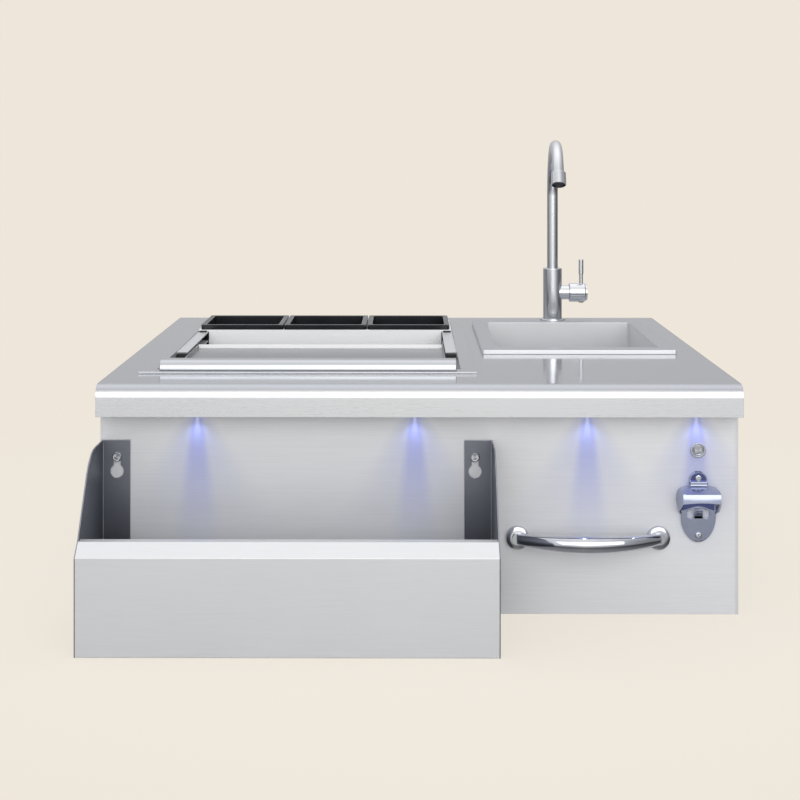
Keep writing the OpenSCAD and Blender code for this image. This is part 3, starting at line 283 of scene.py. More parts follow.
    def modifier(self, kind: str, **settings: object) -> "Bench":
        """Adds a modifier with its settings and applies it.

        Args:
            kind: the modifier's type.
            settings: its own properties.

        Returns:
            The bench.
        """
        self._clear()
        self.piece.select_set(True)
        bpy.context.view_layer.objects.active = self.piece
        added = self.piece.modifiers.new(kind.lower(), kind)
        for key, value in settings.items():
            setattr(added, key, value)
        bpy.ops.object.modifier_apply(modifier=added.name)
        return self

    def subdivide(self, levels: int) -> "Bench":
        """Applies a subdivision surface."""
        return self.modifier("SUBSURF", levels=levels, render_levels=levels)

    def round_edges(self, width: float, segments: int = 2, angle: float = 40.0) -> "Bench":
        """Rounds every edge that is sharper than an angle."""
        return self.modifier("BEVEL", width=width * MM, segments=segments, limit_method="ANGLE",
                             angle_limit=math.radians(angle), use_clamp_overlap=True)

    def carve(self, tool: "Bench") -> "Bench":
        """Cuts another mesh out of this one and deletes it."""
        self.modifier("BOOLEAN", operation="DIFFERENCE", solver="EXACT", object=tool.piece)
        bpy.data.objects.remove(tool.piece, do_unlink=True)
        return self

    def join(self, other: "Bench") -> "Bench":
        """Takes another mesh into this one as a part of the same piece."""
        self._clear()
        other.piece.select_set(True)
        self.piece.select_set(True)
        bpy.context.view_layer.objects.active = self.piece
        bpy.ops.object.join()
        return self

    def copy(self, name: str, by: Point = (0.0, 0.0, 0.0)) -> "Bench":
        """Copies the piece with a mesh of its own, moved by a step."""
        self._clear()
        twin = self.piece.copy()
        twin.data = self.piece.data.copy()
        twin.name, twin.data.name = name, name
        bpy.context.collection.objects.link(twin)
        twin.select_set(True)
        bpy.context.view_layer.objects.active = twin
        twin.location = Vector(by) * MM
        return Bench(twin, name)

    def done(self, angle: float = 35.0) -> bpy.types.Object:
        """Shades the piece smooth below an angle, keeps its broad faces flat, and gives it back."""
        self._clear()
        self.piece.select_set(True)
        bpy.context.view_layer.objects.active = self.piece
        bpy.ops.object.shade_smooth_by_angle(angle=math.radians(angle))
        self.modifier("WEIGHTED_NORMAL", mode="FACE_AREA", keep_sharp=True, weight=80)
        self.piece.select_set(False)
        return self.piece


def dress(piece: bpy.types.Object, finish: bpy.types.Material, body: str, slot: str, *nodes: str) -> None:
    """Gives a new piece its material and its body, and hides the CAD nodes that it stands for.

    Args:
        piece: the finished object.
        finish: its material.
        body: the CAD body that it rides on.
        slot: not used.
        nodes: the CAD nodes that it replaces.
    """
    piece.data.materials.clear()
    piece.data.materials.append(finish)
    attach(piece, body)
    if nodes:
        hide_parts(*nodes)
    LOG.info("%s: %d faces, on %s", piece.name, len(piece.data.polygons), body)


def cover(node: str, finish: bpy.types.Material) -> None:
    """Gives a CAD node its material.

    Args:
        node: the node's name.
        finish: the material for all its slots.
    """
    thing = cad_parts[node]
    if not thing.material_slots:
        thing.data.materials.append(finish)
    for place in thing.material_slots:
        place.material = finish
    LOG.info("%s: CAD node, %s", node, finish.name)


# Finishes
def linear(code: str, alpha: float = 1.0) -> tuple[float, float, float, float]:
    """Turns an sRGB hex colour into the linear one that shaders take.

    Args:
        code: six hex digits.
        alpha: the fourth value.

    Returns:
        Red, green, blue and alpha.
    """
    parts = [int(code[i:i + 2], 16) / 255 for i in (0, 2, 4)]
    red, green, blue = (c / 12.92 if c <= 0.04045 else ((c + 0.055) / 1.055) ** 2.4 for c in parts)
    return red, green, blue, alpha


def node(tree: bpy.types.NodeTree, kind: str, links: dict | None = None, **settings: object) -> bpy.types.Node:
    """Adds one shader node with its settings and links.

    Args:
        tree: the tree that it goes into.
        kind: the node's type.
        links: input name or number to an output socket, or to a plain value.
        settings: the node's own properties.

    Returns:
        The node.
    """
    made = tree.nodes.new(kind)
    for key, value in settings.items():
        setattr(made, key, value)
    for key, value in (links or {}).items():
        if isinstance(value, bpy.types.NodeSocket):
            tree.links.new(value, made.inputs[key])
        else:
            made.inputs[key].default_value = value
    return made


@dataclass(frozen=True)
class Finish:
    """What every finish shares: a name and a principled surface to build on."""

    name: str

    def start(self) -> tuple[bpy.types.Material, bpy.types.NodeTree, bpy.types.Node, bpy.types.NodeSocket]:
        """Makes the empty material.

        Returns:
            The material, its tree, its surface shader and the object coordinates.
        """
        made = bpy.data.materials.new(self.name)
        made.use_nodes = True
        tree = made.node_tree
        tree.nodes.clear()
        surface = node(tree, "ShaderNodeBsdfPrincipled")
        node(tree, "ShaderNodeOutputMaterial", {"Surface": surface.outputs["BSDF"]})
        place = node(tree, "ShaderNodeTexCoord").outputs["Object"]
        return made, tree, surface, place

    def soft_edge(self, tree: bpy.types.NodeTree, surface: bpy.types.Node, height: bpy.types.NodeSocket,
                  strength: float, radius_mm: float) -> bpy.types.NodeSocket:
        """Lays a bump over edges that are rounded for the eye, and finds where these edges are.

        Args:
            tree: the material's tree.
            surface: its surface shader.
            height: the bump's height.
            strength: how strong the bump is.
            radius_mm: the radius that sharp edges seem to have.

        Returns:
            0 on the flat, 1 on an edge.
        """
        rounded = node(tree, "ShaderNodeBevel", {"Radius": radius_mm * MM}, samples=4)
        bump = node(tree, "ShaderNodeBump", {"Strength": strength, "Distance": 0.05 * MM, "Height": height,
                                             "Normal": rounded.outputs["Normal"]})
        tree.links.new(bump.outputs["Normal"], surface.inputs["Normal"])
        flat = node(tree, "ShaderNodeNewGeometry").outputs["Normal"]
        match = node(tree, "ShaderNodeVectorMath", {0: rounded.outputs["Normal"], 1: flat}, operation="DOT_PRODUCT")
        return node(tree, "ShaderNodeMapRange", {"Value": match.outputs["Value"], "From Min": 0.995, "From Max": 0.9,
                                                 "To Min": 0.0, "To Max": 1.0}).outputs["Result"]

    @staticmethod
    def blend(tree: bpy.types.NodeTree, factor: bpy.types.NodeSocket, low: Sequence[float],
              high: Sequence[float], under: bpy.types.NodeSocket | None = None) -> bpy.types.NodeSocket:
        """Mixes two colours, and lays the mix over a third by multiplying where one is given.

        Args:
            tree: the material's tree.
            factor: 0 gives the first colour, 1 the second.
            low: the first colour.
            high: the second colour.
            under: the colour that the mix is laid over.

        Returns:
            The mixed colour.
        """
        mix = node(tree, "ShaderNodeMix", {0: factor, 6: low, 7: high}, data_type="RGBA")
        if under is None:
            return mix.outputs[2]
        laid = node(tree, "ShaderNodeMix", {0: 1.0, 6: under, 7: mix.outputs[2]}, data_type="RGBA",
                    blend_type="MULTIPLY")
        return laid.outputs[2]

    @staticmethod
    def spread(tree: bpy.types.NodeTree, value: bpy.types.NodeSocket, low: float, high: float) -> bpy.types.NodeSocket:
        """Spreads a noise from its usual range over two limits.

        Args:
            tree: the material's tree.
            value: the noise.
            low: what the dark of the noise becomes.
            high: what the bright of the noise becomes.

        Returns:
            The new value.
        """
        return node(tree, "ShaderNodeMapRange", {"Value": value, "From Min": 0.3, "From Max": 0.7, "To Min": low,
                                                 "To Max": high}).outputs["Result"]


@dataclass(frozen=True)
class BrushedSheet(Finish):
    """Stainless steel sheet, belt brushed: long fine lines one way, and a soft mirror between them. Its options paint
    light and shade into the colour: the lamps' glow, a paler lip, a darker flat rim and paler edges.
    """

    colour: str = "C6C7C9"
    roughness: float = 0.28
    grain: Grain = Grain.ALONG_X
    line_mm: float = 0.9
    contrast: float = 0.08
    edge_mm: float = 0.5
    strength: float = 0.06
    lip_roughness: float = 0.0
    lamps: tuple[float, ...] = ()
    metallic: float = 1.0
    edge_painted_highlight: float = 0.0
    lip_painted_highlight: str = ""
    rim_z: float = 0.0
    rim_colour: str = ""

    def lip(self, tree: bpy.types.NodeTree, place: bpy.types.NodeSocket) -> bpy.types.NodeSocket:
        """Adds roughness where the sheet is bent down over the front.

        Args:
            tree: the material's tree.
            place: the object coordinates.

        Returns:
            The roughness to add.
        """
        along = node(tree, "ShaderNodeSeparateXYZ", {"Vector": place}).outputs["Y"]
        return node(tree, "ShaderNodeMapRange", {"Value": along, "From Min": (LIP_Y + 4.0) * MM,
                                                 "From Max": (LIP_Y + 0.5) * MM, "To Min": 0.0,
                                                 "To Max": self.lip_roughness},
                    interpolation_type="SMOOTHSTEP").outputs["Result"]

    def rim(self, tree: bpy.types.NodeTree, place: bpy.types.NodeSocket) -> bpy.types.NodeSocket:
        """How far a point belongs to the flat rim on top, from 0 to 1.

        Args:
            tree: the material's tree.
            place: the object coordinates.

        Returns:
            The share of the rim.
        """
        up = node(tree, "ShaderNodeSeparateXYZ", {"Vector": place}).outputs["Z"]
        return node(tree, "ShaderNodeMapRange", {"Value": up, "From Min": (self.rim_z - 0.4) * MM,
                                                 "From Max": (self.rim_z - 0.1) * MM},
                    interpolation_type="SMOOTHSTEP").outputs["Result"]

    def wash(self, tree: bpy.types.NodeTree, place: bpy.types.NodeSocket, x: float, half: float,
             spread: float, reach: float) -> bpy.types.NodeSocket:
        """The share of one lamp's painted light at each point: a cone that widens and fades downwards.

        Args:
            tree: the material's tree.
            place: the object coordinates.
            x: the lamp's place.
            half: half the cone's width at the lamp.
            spread: how much it widens for each millimetre of drop.
            reach: how far down it is seen.

        Returns:
            A value from 0 to 1.
        """
        split = node(tree, "ShaderNodeSeparateXYZ", {"Vector": place})
        drop = node(tree, "ShaderNodeMath", {0: LENS_Z * MM, 1: split.outputs["Z"]}, operation="SUBTRACT")
        side = node(tree, "ShaderNodeMath", {0: split.outputs["X"], 1: x * MM}, operation="SUBTRACT")
        wide = node(tree, "ShaderNodeMath", {0: drop.outputs["Value"], 1: spread, 2: half * MM},
                    operation="MULTIPLY_ADD")
        ratio = node(tree, "ShaderNodeMath", {0: side.outputs["Value"], 1: wide.outputs["Value"]},
                     operation="DIVIDE")
        across = node(tree, "ShaderNodeMapRange", {
            "Value": node(tree, "ShaderNodeMath", {0: ratio.outputs["Value"]}, operation="ABSOLUTE").outputs["Value"],
            "From Min": 0.35, "From Max": 1.25, "To Min": 1.0, "To Max": 0.0}, interpolation_type="SMOOTHSTEP")
        down = node(tree, "ShaderNodeMapRange", {"Value": drop.outputs["Value"], "From Min": 0.0,
                                                 "From Max": reach * MM, "To Min": 1.0, "To Max": 0.0},
                    interpolation_type="SMOOTHSTEP")
        start = node(tree, "ShaderNodeMath", {0: drop.outputs["Value"], 1: -1.5 * MM}, operation="GREATER_THAN")
        share = node(tree, "ShaderNodeMath", {0: across.outputs["Result"], 1: down.outputs["Result"]},
                     operation="MULTIPLY")
        return node(tree, "ShaderNodeMath", {0: share.outputs["Value"], 1: start.outputs["Value"]},
                    operation="MULTIPLY").outputs["Value"]

    def total(self, tree: bpy.types.NodeTree, place: bpy.types.NodeSocket, half: float, spread: float,
              reach: float) -> bpy.types.NodeSocket:
        """Adds up the painted light of all lamps, at most 1."""
        sum_now = None
        for x in self.lamps:
            share = self.wash(tree, place, x, half, spread, reach)
            if sum_now is None:
                sum_now = share
                continue
            sum_now = node(tree, "ShaderNodeMath", {0: sum_now, 1: share}, operation="ADD",
                           use_clamp=True).outputs["Value"]
        return sum_now

    def paint_lamp_glow(self, tree: bpy.types.NodeTree, surface: bpy.types.Node, place: bpy.types.NodeSocket,
              base: bpy.types.NodeSocket) -> bpy.types.NodeSocket:
        """Paints the lamps' blue light into the sheet's colour and emission: a wide faint wash, a blue cone and its
        white core.

        Args:
            tree: the material's tree.
            surface: its surface shader.
            place: the object coordinates.
            base: the sheet's own colour.

        Returns:
            The tinted colour.
        """
        # Painted light: the lamps' glow as three cones, tinting the colour and lighting the emission
        wide = self.total(tree, place, 14.0, 0.62, 170.0)
        cone = self.total(tree, place, 6.0, 0.16, 190.0)
        core = self.total(tree, place, 1.2, 0.2, 52.0)
        faint = node(tree, "ShaderNodeMath", {0: wide, 1: 0.4}, operation="MULTIPLY").outputs["Value"]
        strong = node(tree, "ShaderNodeMath", {0: cone, 1: 0.5}, operation="MULTIPLY").outputs["Value"]
        base = self.blend(tree, faint, linear("FFFFFF"), linear("B4BCE8"), base)
        base = self.blend(tree, strong, linear("FFFFFF"), linear("96A3EC"), base)
        glow = node(tree, "ShaderNodeMath", {0: cone, 1: 0.07}, operation="MULTIPLY").outputs["Value"]
        lift = node(tree, "ShaderNodeMath", {0: core, 1: 0.16, 2: glow}, operation="MULTIPLY_ADD").outputs["Value"]
        tree.links.new(self.blend(tree, core, linear("7C8AF0"), linear("FFFFFF")), surface.inputs["Emission Color"])
        tree.links.new(lift, surface.inputs["Emission Strength"])
        return base

    def make(self) -> bpy.types.Material:
        """Builds the material."""
        made, tree, surface, place = self.start()
        scaled = node(tree, "ShaderNodeMapping", {"Vector": place, "Scale": self.grain.value})
        lines = node(tree, "ShaderNodeTexNoise", {"Vector": scaled.outputs["Vector"], "Scale": 1 / (self.line_mm * MM),
                                                  "Detail": 5.0, "Roughness": 0.7})
        cloud = node(tree, "ShaderNodeTexNoise", {"Vector": place, "Scale": 1 / (140 * MM), "Detail": 2.0})
        dark, light = linear(self.colour), linear(self.colour)
        dark = tuple(c * (1 - self.contrast) for c in dark[:3]) + (1.0,)
        mix = self.blend(tree, self.spread(tree, lines.outputs["Fac"], 0.0, 1.0), dark, light)
        # Painted light: the lamps' blue glow
        if self.lamps:
            mix = self.paint_lamp_glow(tree, surface, place, mix)
        bent = self.lip(tree, place) if self.lip_roughness else None
        # Painted highlight: the bent lip is painted paler
        if self.lip_painted_highlight:
            share = node(tree, "ShaderNodeMath", {0: bent, 1: 1 / self.lip_roughness}, operation="MULTIPLY")
            mix = self.blend(tree, share.outputs["Value"], mix, linear(self.lip_painted_highlight))
        # Painted shade: the flat top of the rim is painted darker
        if self.rim_colour:
            mix = self.blend(tree, self.rim(tree, place), mix, linear(self.rim_colour))
        edge = self.soft_edge(tree, surface, lines.outputs["Fac"], self.strength, self.edge_mm)
        # Painted highlight: edges painted paler, where the bevel bends the normal
        if self.edge_painted_highlight:
            edge_lit = node(tree, "ShaderNodeMath", {0: edge, 1: self.edge_painted_highlight}, operation="MULTIPLY").outputs["Value"]
            mix = self.blend(tree, edge_lit, mix, linear("F4F5F7"))
        tree.links.new(mix, surface.inputs["Base Color"])
        rough = node(tree, "ShaderNodeMath", {0: self.spread(tree, lines.outputs["Fac"], -0.05, 0.05),
                                              1: self.spread(tree, cloud.outputs["Fac"], -0.02, 0.02)}, operation="ADD")
        rough = node(tree, "ShaderNodeMath", {0: rough.outputs["Value"], 1: self.roughness}, operation="ADD")
        if bent is not None:
            rough = node(tree, "ShaderNodeMath", {0: rough.outputs["Value"], 1: bent}, operation="ADD")
        tree.links.new(rough.outputs["Value"], surface.inputs["Roughness"])
        surface.inputs["Metallic"].default_value = self.metallic
        return made


@dataclass(frozen=True)
class PolishedMetal(Finish):
    """Chrome plate or buffed steel: a near mirror, with faint waves and a few fine hairlines from wiping."""

    colour: str = "DEDFE2"
    roughness: float = 0.07
    wave_mm: float = 9.0
    edge_mm: float = 0.35
    scratch: float = 0.03

    def make(self) -> bpy.types.Material:
        """Builds the material."""
        made, tree, surface, place = self.start()
        wave = node(tree, "ShaderNodeTexNoise", {"Vector": place, "Scale": 1 / (self.wave_mm * MM), "Detail": 2.0})
        wiped = node(tree, "ShaderNodeMapping", {"Vector": place, "Rotation": (0.3, 0.5, 0.2),
                                                 "Scale": (0.05, 1.0, 1.0)})
        hair = node(tree, "ShaderNodeTexNoise", {"Vector": wiped.outputs["Vector"], "Scale": 1 / (0.5 * MM),
                                                 "Detail": 3.0})
        smear = self.spread(tree, wave.outputs["Fac"], 0.0, self.scratch)
        rough = node(tree, "ShaderNodeMath", {0: self.spread(tree, hair.outputs["Fac"], 0.0, self.scratch), 1: smear},
                     operation="ADD")
        rough = node(tree, "ShaderNodeMath", {0: rough.outputs["Value"], 1: self.roughness}, operation="ADD")
        tree.links.new(rough.outputs["Value"], surface.inputs["Roughness"])
        dark = tuple(c * 0.93 for c in linear(self.colour)[:3]) + (1.0,)
        tint = self.blend(tree, self.spread(tree, wave.outputs["Fac"], 0.0, 1.0), dark, linear(self.colour))
        tree.links.new(tint, surface.inputs["Base Color"])
        surface.inputs["Metallic"].default_value = 1.0
        self.soft_edge(tree, surface, wave.outputs["Fac"], 0.03, self.edge_mm)
        return made


@dataclass(frozen=True)
class Moulded(Finish):
    """Injection moulded plastic: an even colour with a fine spark eroded grain and a slight unevenness of gloss."""

    colour: str = "0B0B0C"
    roughness: float = 0.18
    grain_mm: float = 0.5
    strength: float = 0.05
    edge_mm: float = 0.4
    specular: float = 0.5

    def make(self) -> bpy.types.Material:
        """Builds the material."""
        made, tree, surface, place = self.start()
        grain = node(tree, "ShaderNodeTexVoronoi", {"Vector": place, "Scale": 1 / (self.grain_mm * MM)})
        cloud = node(tree, "ShaderNodeTexNoise", {"Vector": place, "Scale": 1 / (30 * MM), "Detail": 3.0})
        base = linear(self.colour)
        pale = tuple(min(1.0, c * 1.12 + 0.002) for c in base[:3]) + (1.0,)
        tree.links.new(self.blend(tree, self.spread(tree, cloud.outputs["Fac"], 0.0, 1.0), base, pale),
                       surface.inputs["Base Color"])
        low, high = self.roughness * 0.85, self.roughness * 1.15
        tree.links.new(self.spread(tree, cloud.outputs["Fac"], low, high), surface.inputs["Roughness"])
        surface.inputs["IOR"].default_value = 1.5
        surface.inputs["Specular IOR Level"].default_value = self.specular
        self.soft_edge(tree, surface, grain.outputs["Distance"], self.strength, self.edge_mm)
        return made


@dataclass(frozen=True)
class TurnedMetal(Finish):
    """Brass or steel turned on a lathe: fine rings round the axis, a little darker in the grooves."""

    colour: str = "B89A55"
    roughness: float = 0.3
    ring_mm: float = 0.9

    def make(self) -> bpy.types.Material:
        """Builds the material."""
        made, tree, surface, place = self.start()
        rings = node(tree, "ShaderNodeTexWave", {"Vector": place, "Scale": 0.32 / (self.ring_mm * MM),
                                                 "Distortion": 0.6, "Detail": 2.0}, bands_direction="Z")
        base = linear(self.colour)
        dark = tuple(c * 0.75 for c in base[:3]) + (1.0,)
        tree.links.new(self.blend(tree, rings.outputs["Fac"], dark, base), surface.inputs["Base Color"])
        low, high = self.roughness * 0.9, self.roughness * 1.2
        tree.links.new(self.spread(tree, rings.outputs["Fac"], low, high), surface.inputs["Roughness"])
        surface.inputs["Metallic"].default_value = 1.0
        self.soft_edge(tree, surface, rings.outputs["Fac"], 0.15, 0.3)
        return made


@dataclass(frozen=True)
class SpunFace(Finish):
    """Steel faced on a lathe: fine rings that gather the light into two wedges that meet at the centre."""

    colour: str = "9A9CA3"
    roughness: float = 0.32
    ring_mm: float = 0.5

    def make(self) -> bpy.types.Material:
        """Builds the material."""
        made, tree, surface, place = self.start()
        grit = node(tree, "ShaderNodeTexNoise", {"Vector": place, "Scale": 1 / (self.ring_mm * MM), "Detail": 3.0})
        base = linear(self.colour)
        dark = tuple(c * 0.8 for c in base[:3]) + (1.0,)
        tree.links.new(self.blend(tree, self.spread(tree, grit.outputs["Fac"], 0.0, 1.0), dark, base),
                       surface.inputs["Base Color"])
        tree.links.new(self.spread(tree, grit.outputs["Fac"], self.roughness * 0.9, self.roughness * 1.1),
                       surface.inputs["Roughness"])
        rings = node(tree, "ShaderNodeTangent", direction_type="RADIAL", axis="Y")
        tree.links.new(rings.outputs["Tangent"], surface.inputs["Tangent"])
        surface.inputs["Anisotropic"].default_value = 0.9
        surface.inputs["Metallic"].default_value = 1.0
        self.soft_edge(tree, surface, grit.outputs["Fac"], 0.02, 0.3)
        return made


@dataclass(frozen=True)
class Foam(Finish):
    """Rigid polyurethane foam board: a matte cut face full of small open cells."""

    colour: str = "D9C58C"
    cell_mm: float = 1.4

    def make(self) -> bpy.types.Material:
        """Builds the material."""
        made, tree, surface, place = self.start()
        cells = node(tree, "ShaderNodeTexVoronoi", {"Vector": place, "Scale": 1 / (self.cell_mm * MM)})
        base = linear(self.colour)
        dark = tuple(c * 0.6 for c in base[:3]) + (1.0,)
        tree.links.new(self.blend(tree, cells.outputs["Distance"], dark, base), surface.inputs["Base Color"])
        surface.inputs["Roughness"].default_value = 0.9
        self.soft_edge(tree, surface, cells.outputs["Distance"], 0.5, 0.6)
        return made


@dataclass(frozen=True)
class LitLens(Finish):
    """Clear polycarbonate over a blue white diode: bright in the middle, with a faint ring of its facets."""

    glow: str = "B9CCFF"
    power: float = 7.0
    facet_mm: float = 1.2

    def make(self) -> bpy.types.Material:
        """Builds the material."""
        made, tree, surface, place = self.start()
        facets = node(tree, "ShaderNodeTexVoronoi", {"Vector": place, "Scale": 1 / (self.facet_mm * MM)})
        tint = self.blend(tree, facets.outputs["Distance"], linear("FFFFFF"), linear(self.glow))
        tree.links.new(tint, surface.inputs["Base Color"])
        tree.links.new(tint, surface.inputs["Emission Color"])
        surface.inputs["Emission Strength"].default_value = self.power
        surface.inputs["Roughness"].default_value = 0.15
        self.soft_edge(tree, surface, facets.outputs["Distance"], 0.1, 0.2)
        return made


@dataclass
class Finishes:
    """Every finish of the object, made once."""

    made: dict[str, bpy.types.Material] = field(default_factory=dict)

    def build(self) -> None:
        """Makes all the materials."""
        sheets = {
            # Worktop: brushed along its length, so the bar and the tap show in it as soft streaks; its bent front lip
            # is painted paler, a painted highlight
            "deck": BrushedSheet("stainless_brushed_worktop", "B0B2B8", 0.1, Grain.ALONG_X, 0.8, 0.05, 0.5, 0.004,
                                 lip_roughness=0.2, lip_painted_highlight="D2D3D6", metallic=0.72),
            # Case: a coarser belt grain; the lamps' upright blue glow is painted into its colour and emission, and its
            # edges are painted paler as a highlight
            "case": BrushedSheet("stainless_brushed_case", "D3D4D7", 0.5, Grain.ALONG_X, 0.9, 0.09, 0.5, 0.06,
                                 lamps=LAMPS_X, metallic=0.3, edge_painted_highlight=0.3),
            "side": BrushedSheet("stainless_brushed_sides", "D2D3D6", 0.5, Grain.ALONG_Y, 0.9, 0.07, 0.5, 0.06,
                                 metallic=0.6, edge_painted_highlight=0.3),
            # Bottle rail: same sheet, bent up, a little finer
            "rail": BrushedSheet("stainless_brushed_rail", "D8D9DB", 0.5, Grain.ALONG_X, 0.8, 0.07, 0.6, 0.05,
                                 metallic=0.7, edge_painted_highlight=0.4),
            # End plates of the rail: a darker copy of the sheet, a painted reflection of the dark trough
            "ear": BrushedSheet("stainless_smooth_plate", "7C7F88", 0.42, Grain.ALONG_Z, 0.6, 0.06, 0.8, 0.02,
                                edge_painted_highlight=1.0),
            # Ice bin: mill finish inside, duller and without a clear direction
            "bin": BrushedSheet("stainless_mill_bin", "D0D2D5", 0.4, Grain.NONE, 2.5, 0.05, 0.5, 0.02,
                                metallic=0.5),
            "lid": BrushedSheet("stainless_brushed_lid", "929498", 0.3, Grain.ALONG_X, 0.8, 0.06, 0.5, 0.015,
                                metallic=0.7),
            # Caddy front: near white, almost unmetallic steel, painted light for the bright wall above the open bin
            "caddy": BrushedSheet("stainless_satin_caddy", "FCFCFD", 0.5, Grain.ALONG_X, 0.8, 0.03, 0.4, 0.02,
                                  metallic=0.1),
            # Lid bar: the brightest part of the front, a soft roll with a clear white band low down
            "bar": BrushedSheet("stainless_brushed_lid_bar", "BEC0C4", 0.3, Grain.ALONG_X, 0.8, 0.05, 0.5, 0.01),
            # Sink: satin inside, brushed front to back; the flat top of its rim is painted darker, a painted shade
            "sink": BrushedSheet("stainless_satin_sink", "DCDDDF", 0.38, Grain.ALONG_Y, 0.8, 0.06, 0.8, 0.03,
                                 metallic=0.55, rim_z=284.0, rim_colour="AAACB1"),
            # Tap: satin steel, brushed round its tubes, so it keeps a bright line down the middle
            "tap": BrushedSheet("stainless_satin_tap", "D8DADE", 0.2, Grain.NONE, 0.6, 0.06, 0.3, 0.05),
        }
        metals = {
            # Towel bar and opener: bright plating that mirrors the floor and the rail
            "chrome": PolishedMetal("chrome_plated", "C6C8CF", 0.06),
            # Opener casting: the towel bar's plating painted darker and bluer, a painted reflection of the shade and
            # the lamps' blue light
            "casting": PolishedMetal("chrome_plated_casting", "A4AAC0", 0.08, 16.0, 0.4, 0.06),
            # Sink waste and strainer, and the small fittings: buffed steel, a touch warmer and softer than plating
            "buffed": PolishedMetal("stainless_buffed", "D2D3D6", 0.13, 14.0, 0.5, 0.05),
            # Inside of the opener's mouth and its tab: the same plating painted dark blue, painted shade in the mouth
            # and a painted reflection on the tab
            "shade": PolishedMetal("chrome_plated_shaded", "586192", 0.14, 12.0, 0.3, 0.04),
            # Push button and stud heads: faced on a lathe
            "spun": SpunFace("steel_spun_face", "C0C2C8"),
            "steel": TurnedMetal("steel_turned", "A9AAAD", 0.32, 0.8),
            "brass": TurnedMetal("brass_turned", "B89A55", 0.3, 0.9),
        }
        plastics = {
            # Trays: glossy black, the glints at their rims show their shape
            "tray": Moulded("abs_gloss_black", "1F2125", 0.2, 0.5, 0.02, 0.8, 0.3),
            # Tray rims: a paler, rougher copy of the tray plastic, a painted highlight along the rims
            "rim": Moulded("abs_rubbed_rim", "34363B", 0.3, 0.5, 0.05, 0.8),
            "black": Moulded("nylon_matte_black", "17181A", 0.5, 0.6, 0.2, 0.3),
            "white": Moulded("acetal_white", "DAD9D4", 0.4, 0.6, 0.1, 0.3),
            "grey": Moulded("pvc_moulded_grey", "8C9094", 0.42, 0.6, 0.15, 0.4),
            "rubber": Moulded("rubber_moulded_black", "1E1E1F", 0.72, 0.8, 0.3, 0.4),
        }
        foams = {"foam": Foam("polyurethane_foam_cut")}
        lights = {"lens": LitLens("polycarbonate_lens_lit")}
        for group in (sheets, metals, plastics, foams, lights):
            for key, finish in group.items():
                self.made[key] = finish.make()

    def __getitem__(self, key: str) -> bpy.types.Material:
        """The material of a finish."""
        return self.made[key]


# Measures shared with the frame
def corners(name: str) -> tuple[Vector, Vector]:
    """The lowest and highest corners of a CAD node, in millimetres."""
    low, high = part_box(name)
    return Vector(low) / MM, Vector(high) / MM


def near(value: float, target: float, within: float = 0.05) -> bool:
    """Whether a value lies close to another."""
    return abs(value - target) <= within


def stations(low: float, high: float, count: int) -> Iterator[float]:
    """Evenly spaced values from low to high, both ends with them."""
    for step in range(count + 1):
        yield low + (high - low) * step / count


# Front fittings
@dataclass
class ScrewHead:
    """A domed screw head with a cross recess, that faces out of the case front."""

    radius: float = 3.5
    height: float = 1.6
    recess: float = 4.2
    blade: float = 0.9

    def build(self, name: str, centre: Point) -> Bench:
        """Models one head.

        Args:
            name: the piece's name.
            centre: the middle of its seat.

        Returns:
            The bench that holds it.
        """
        x, y, z = centre
        head = Bench.rod(name, self.radius, -self.height, centre, Axis.Y, 32)
        with head as work:
            work.faces(lambda c, n: n.y < -0.9).inset(self.radius * 0.28, self.height * 0.08)
            work.inset(self.radius * 0.3, self.height * 0.06)
            work.edges(lambda a, b: all(near(p.y, y - self.height, 0.02) for p in (a, b))
                       and all(near((Vector((p.x - x, p.z - z))).length, self.radius, 0.05) for p in (a, b)))
            work.bevel(self.height * 0.55, 3)
        front = y - self.height * 1.2
        for wide, tall in ((self.recess, self.blade), (self.blade, self.recess)):
            tool = Bench.box("cross", (x - wide / 2, front, z - tall / 2), (x + wide / 2, y - 0.4, z + tall / 2))
            head.carve(tool)
        return head


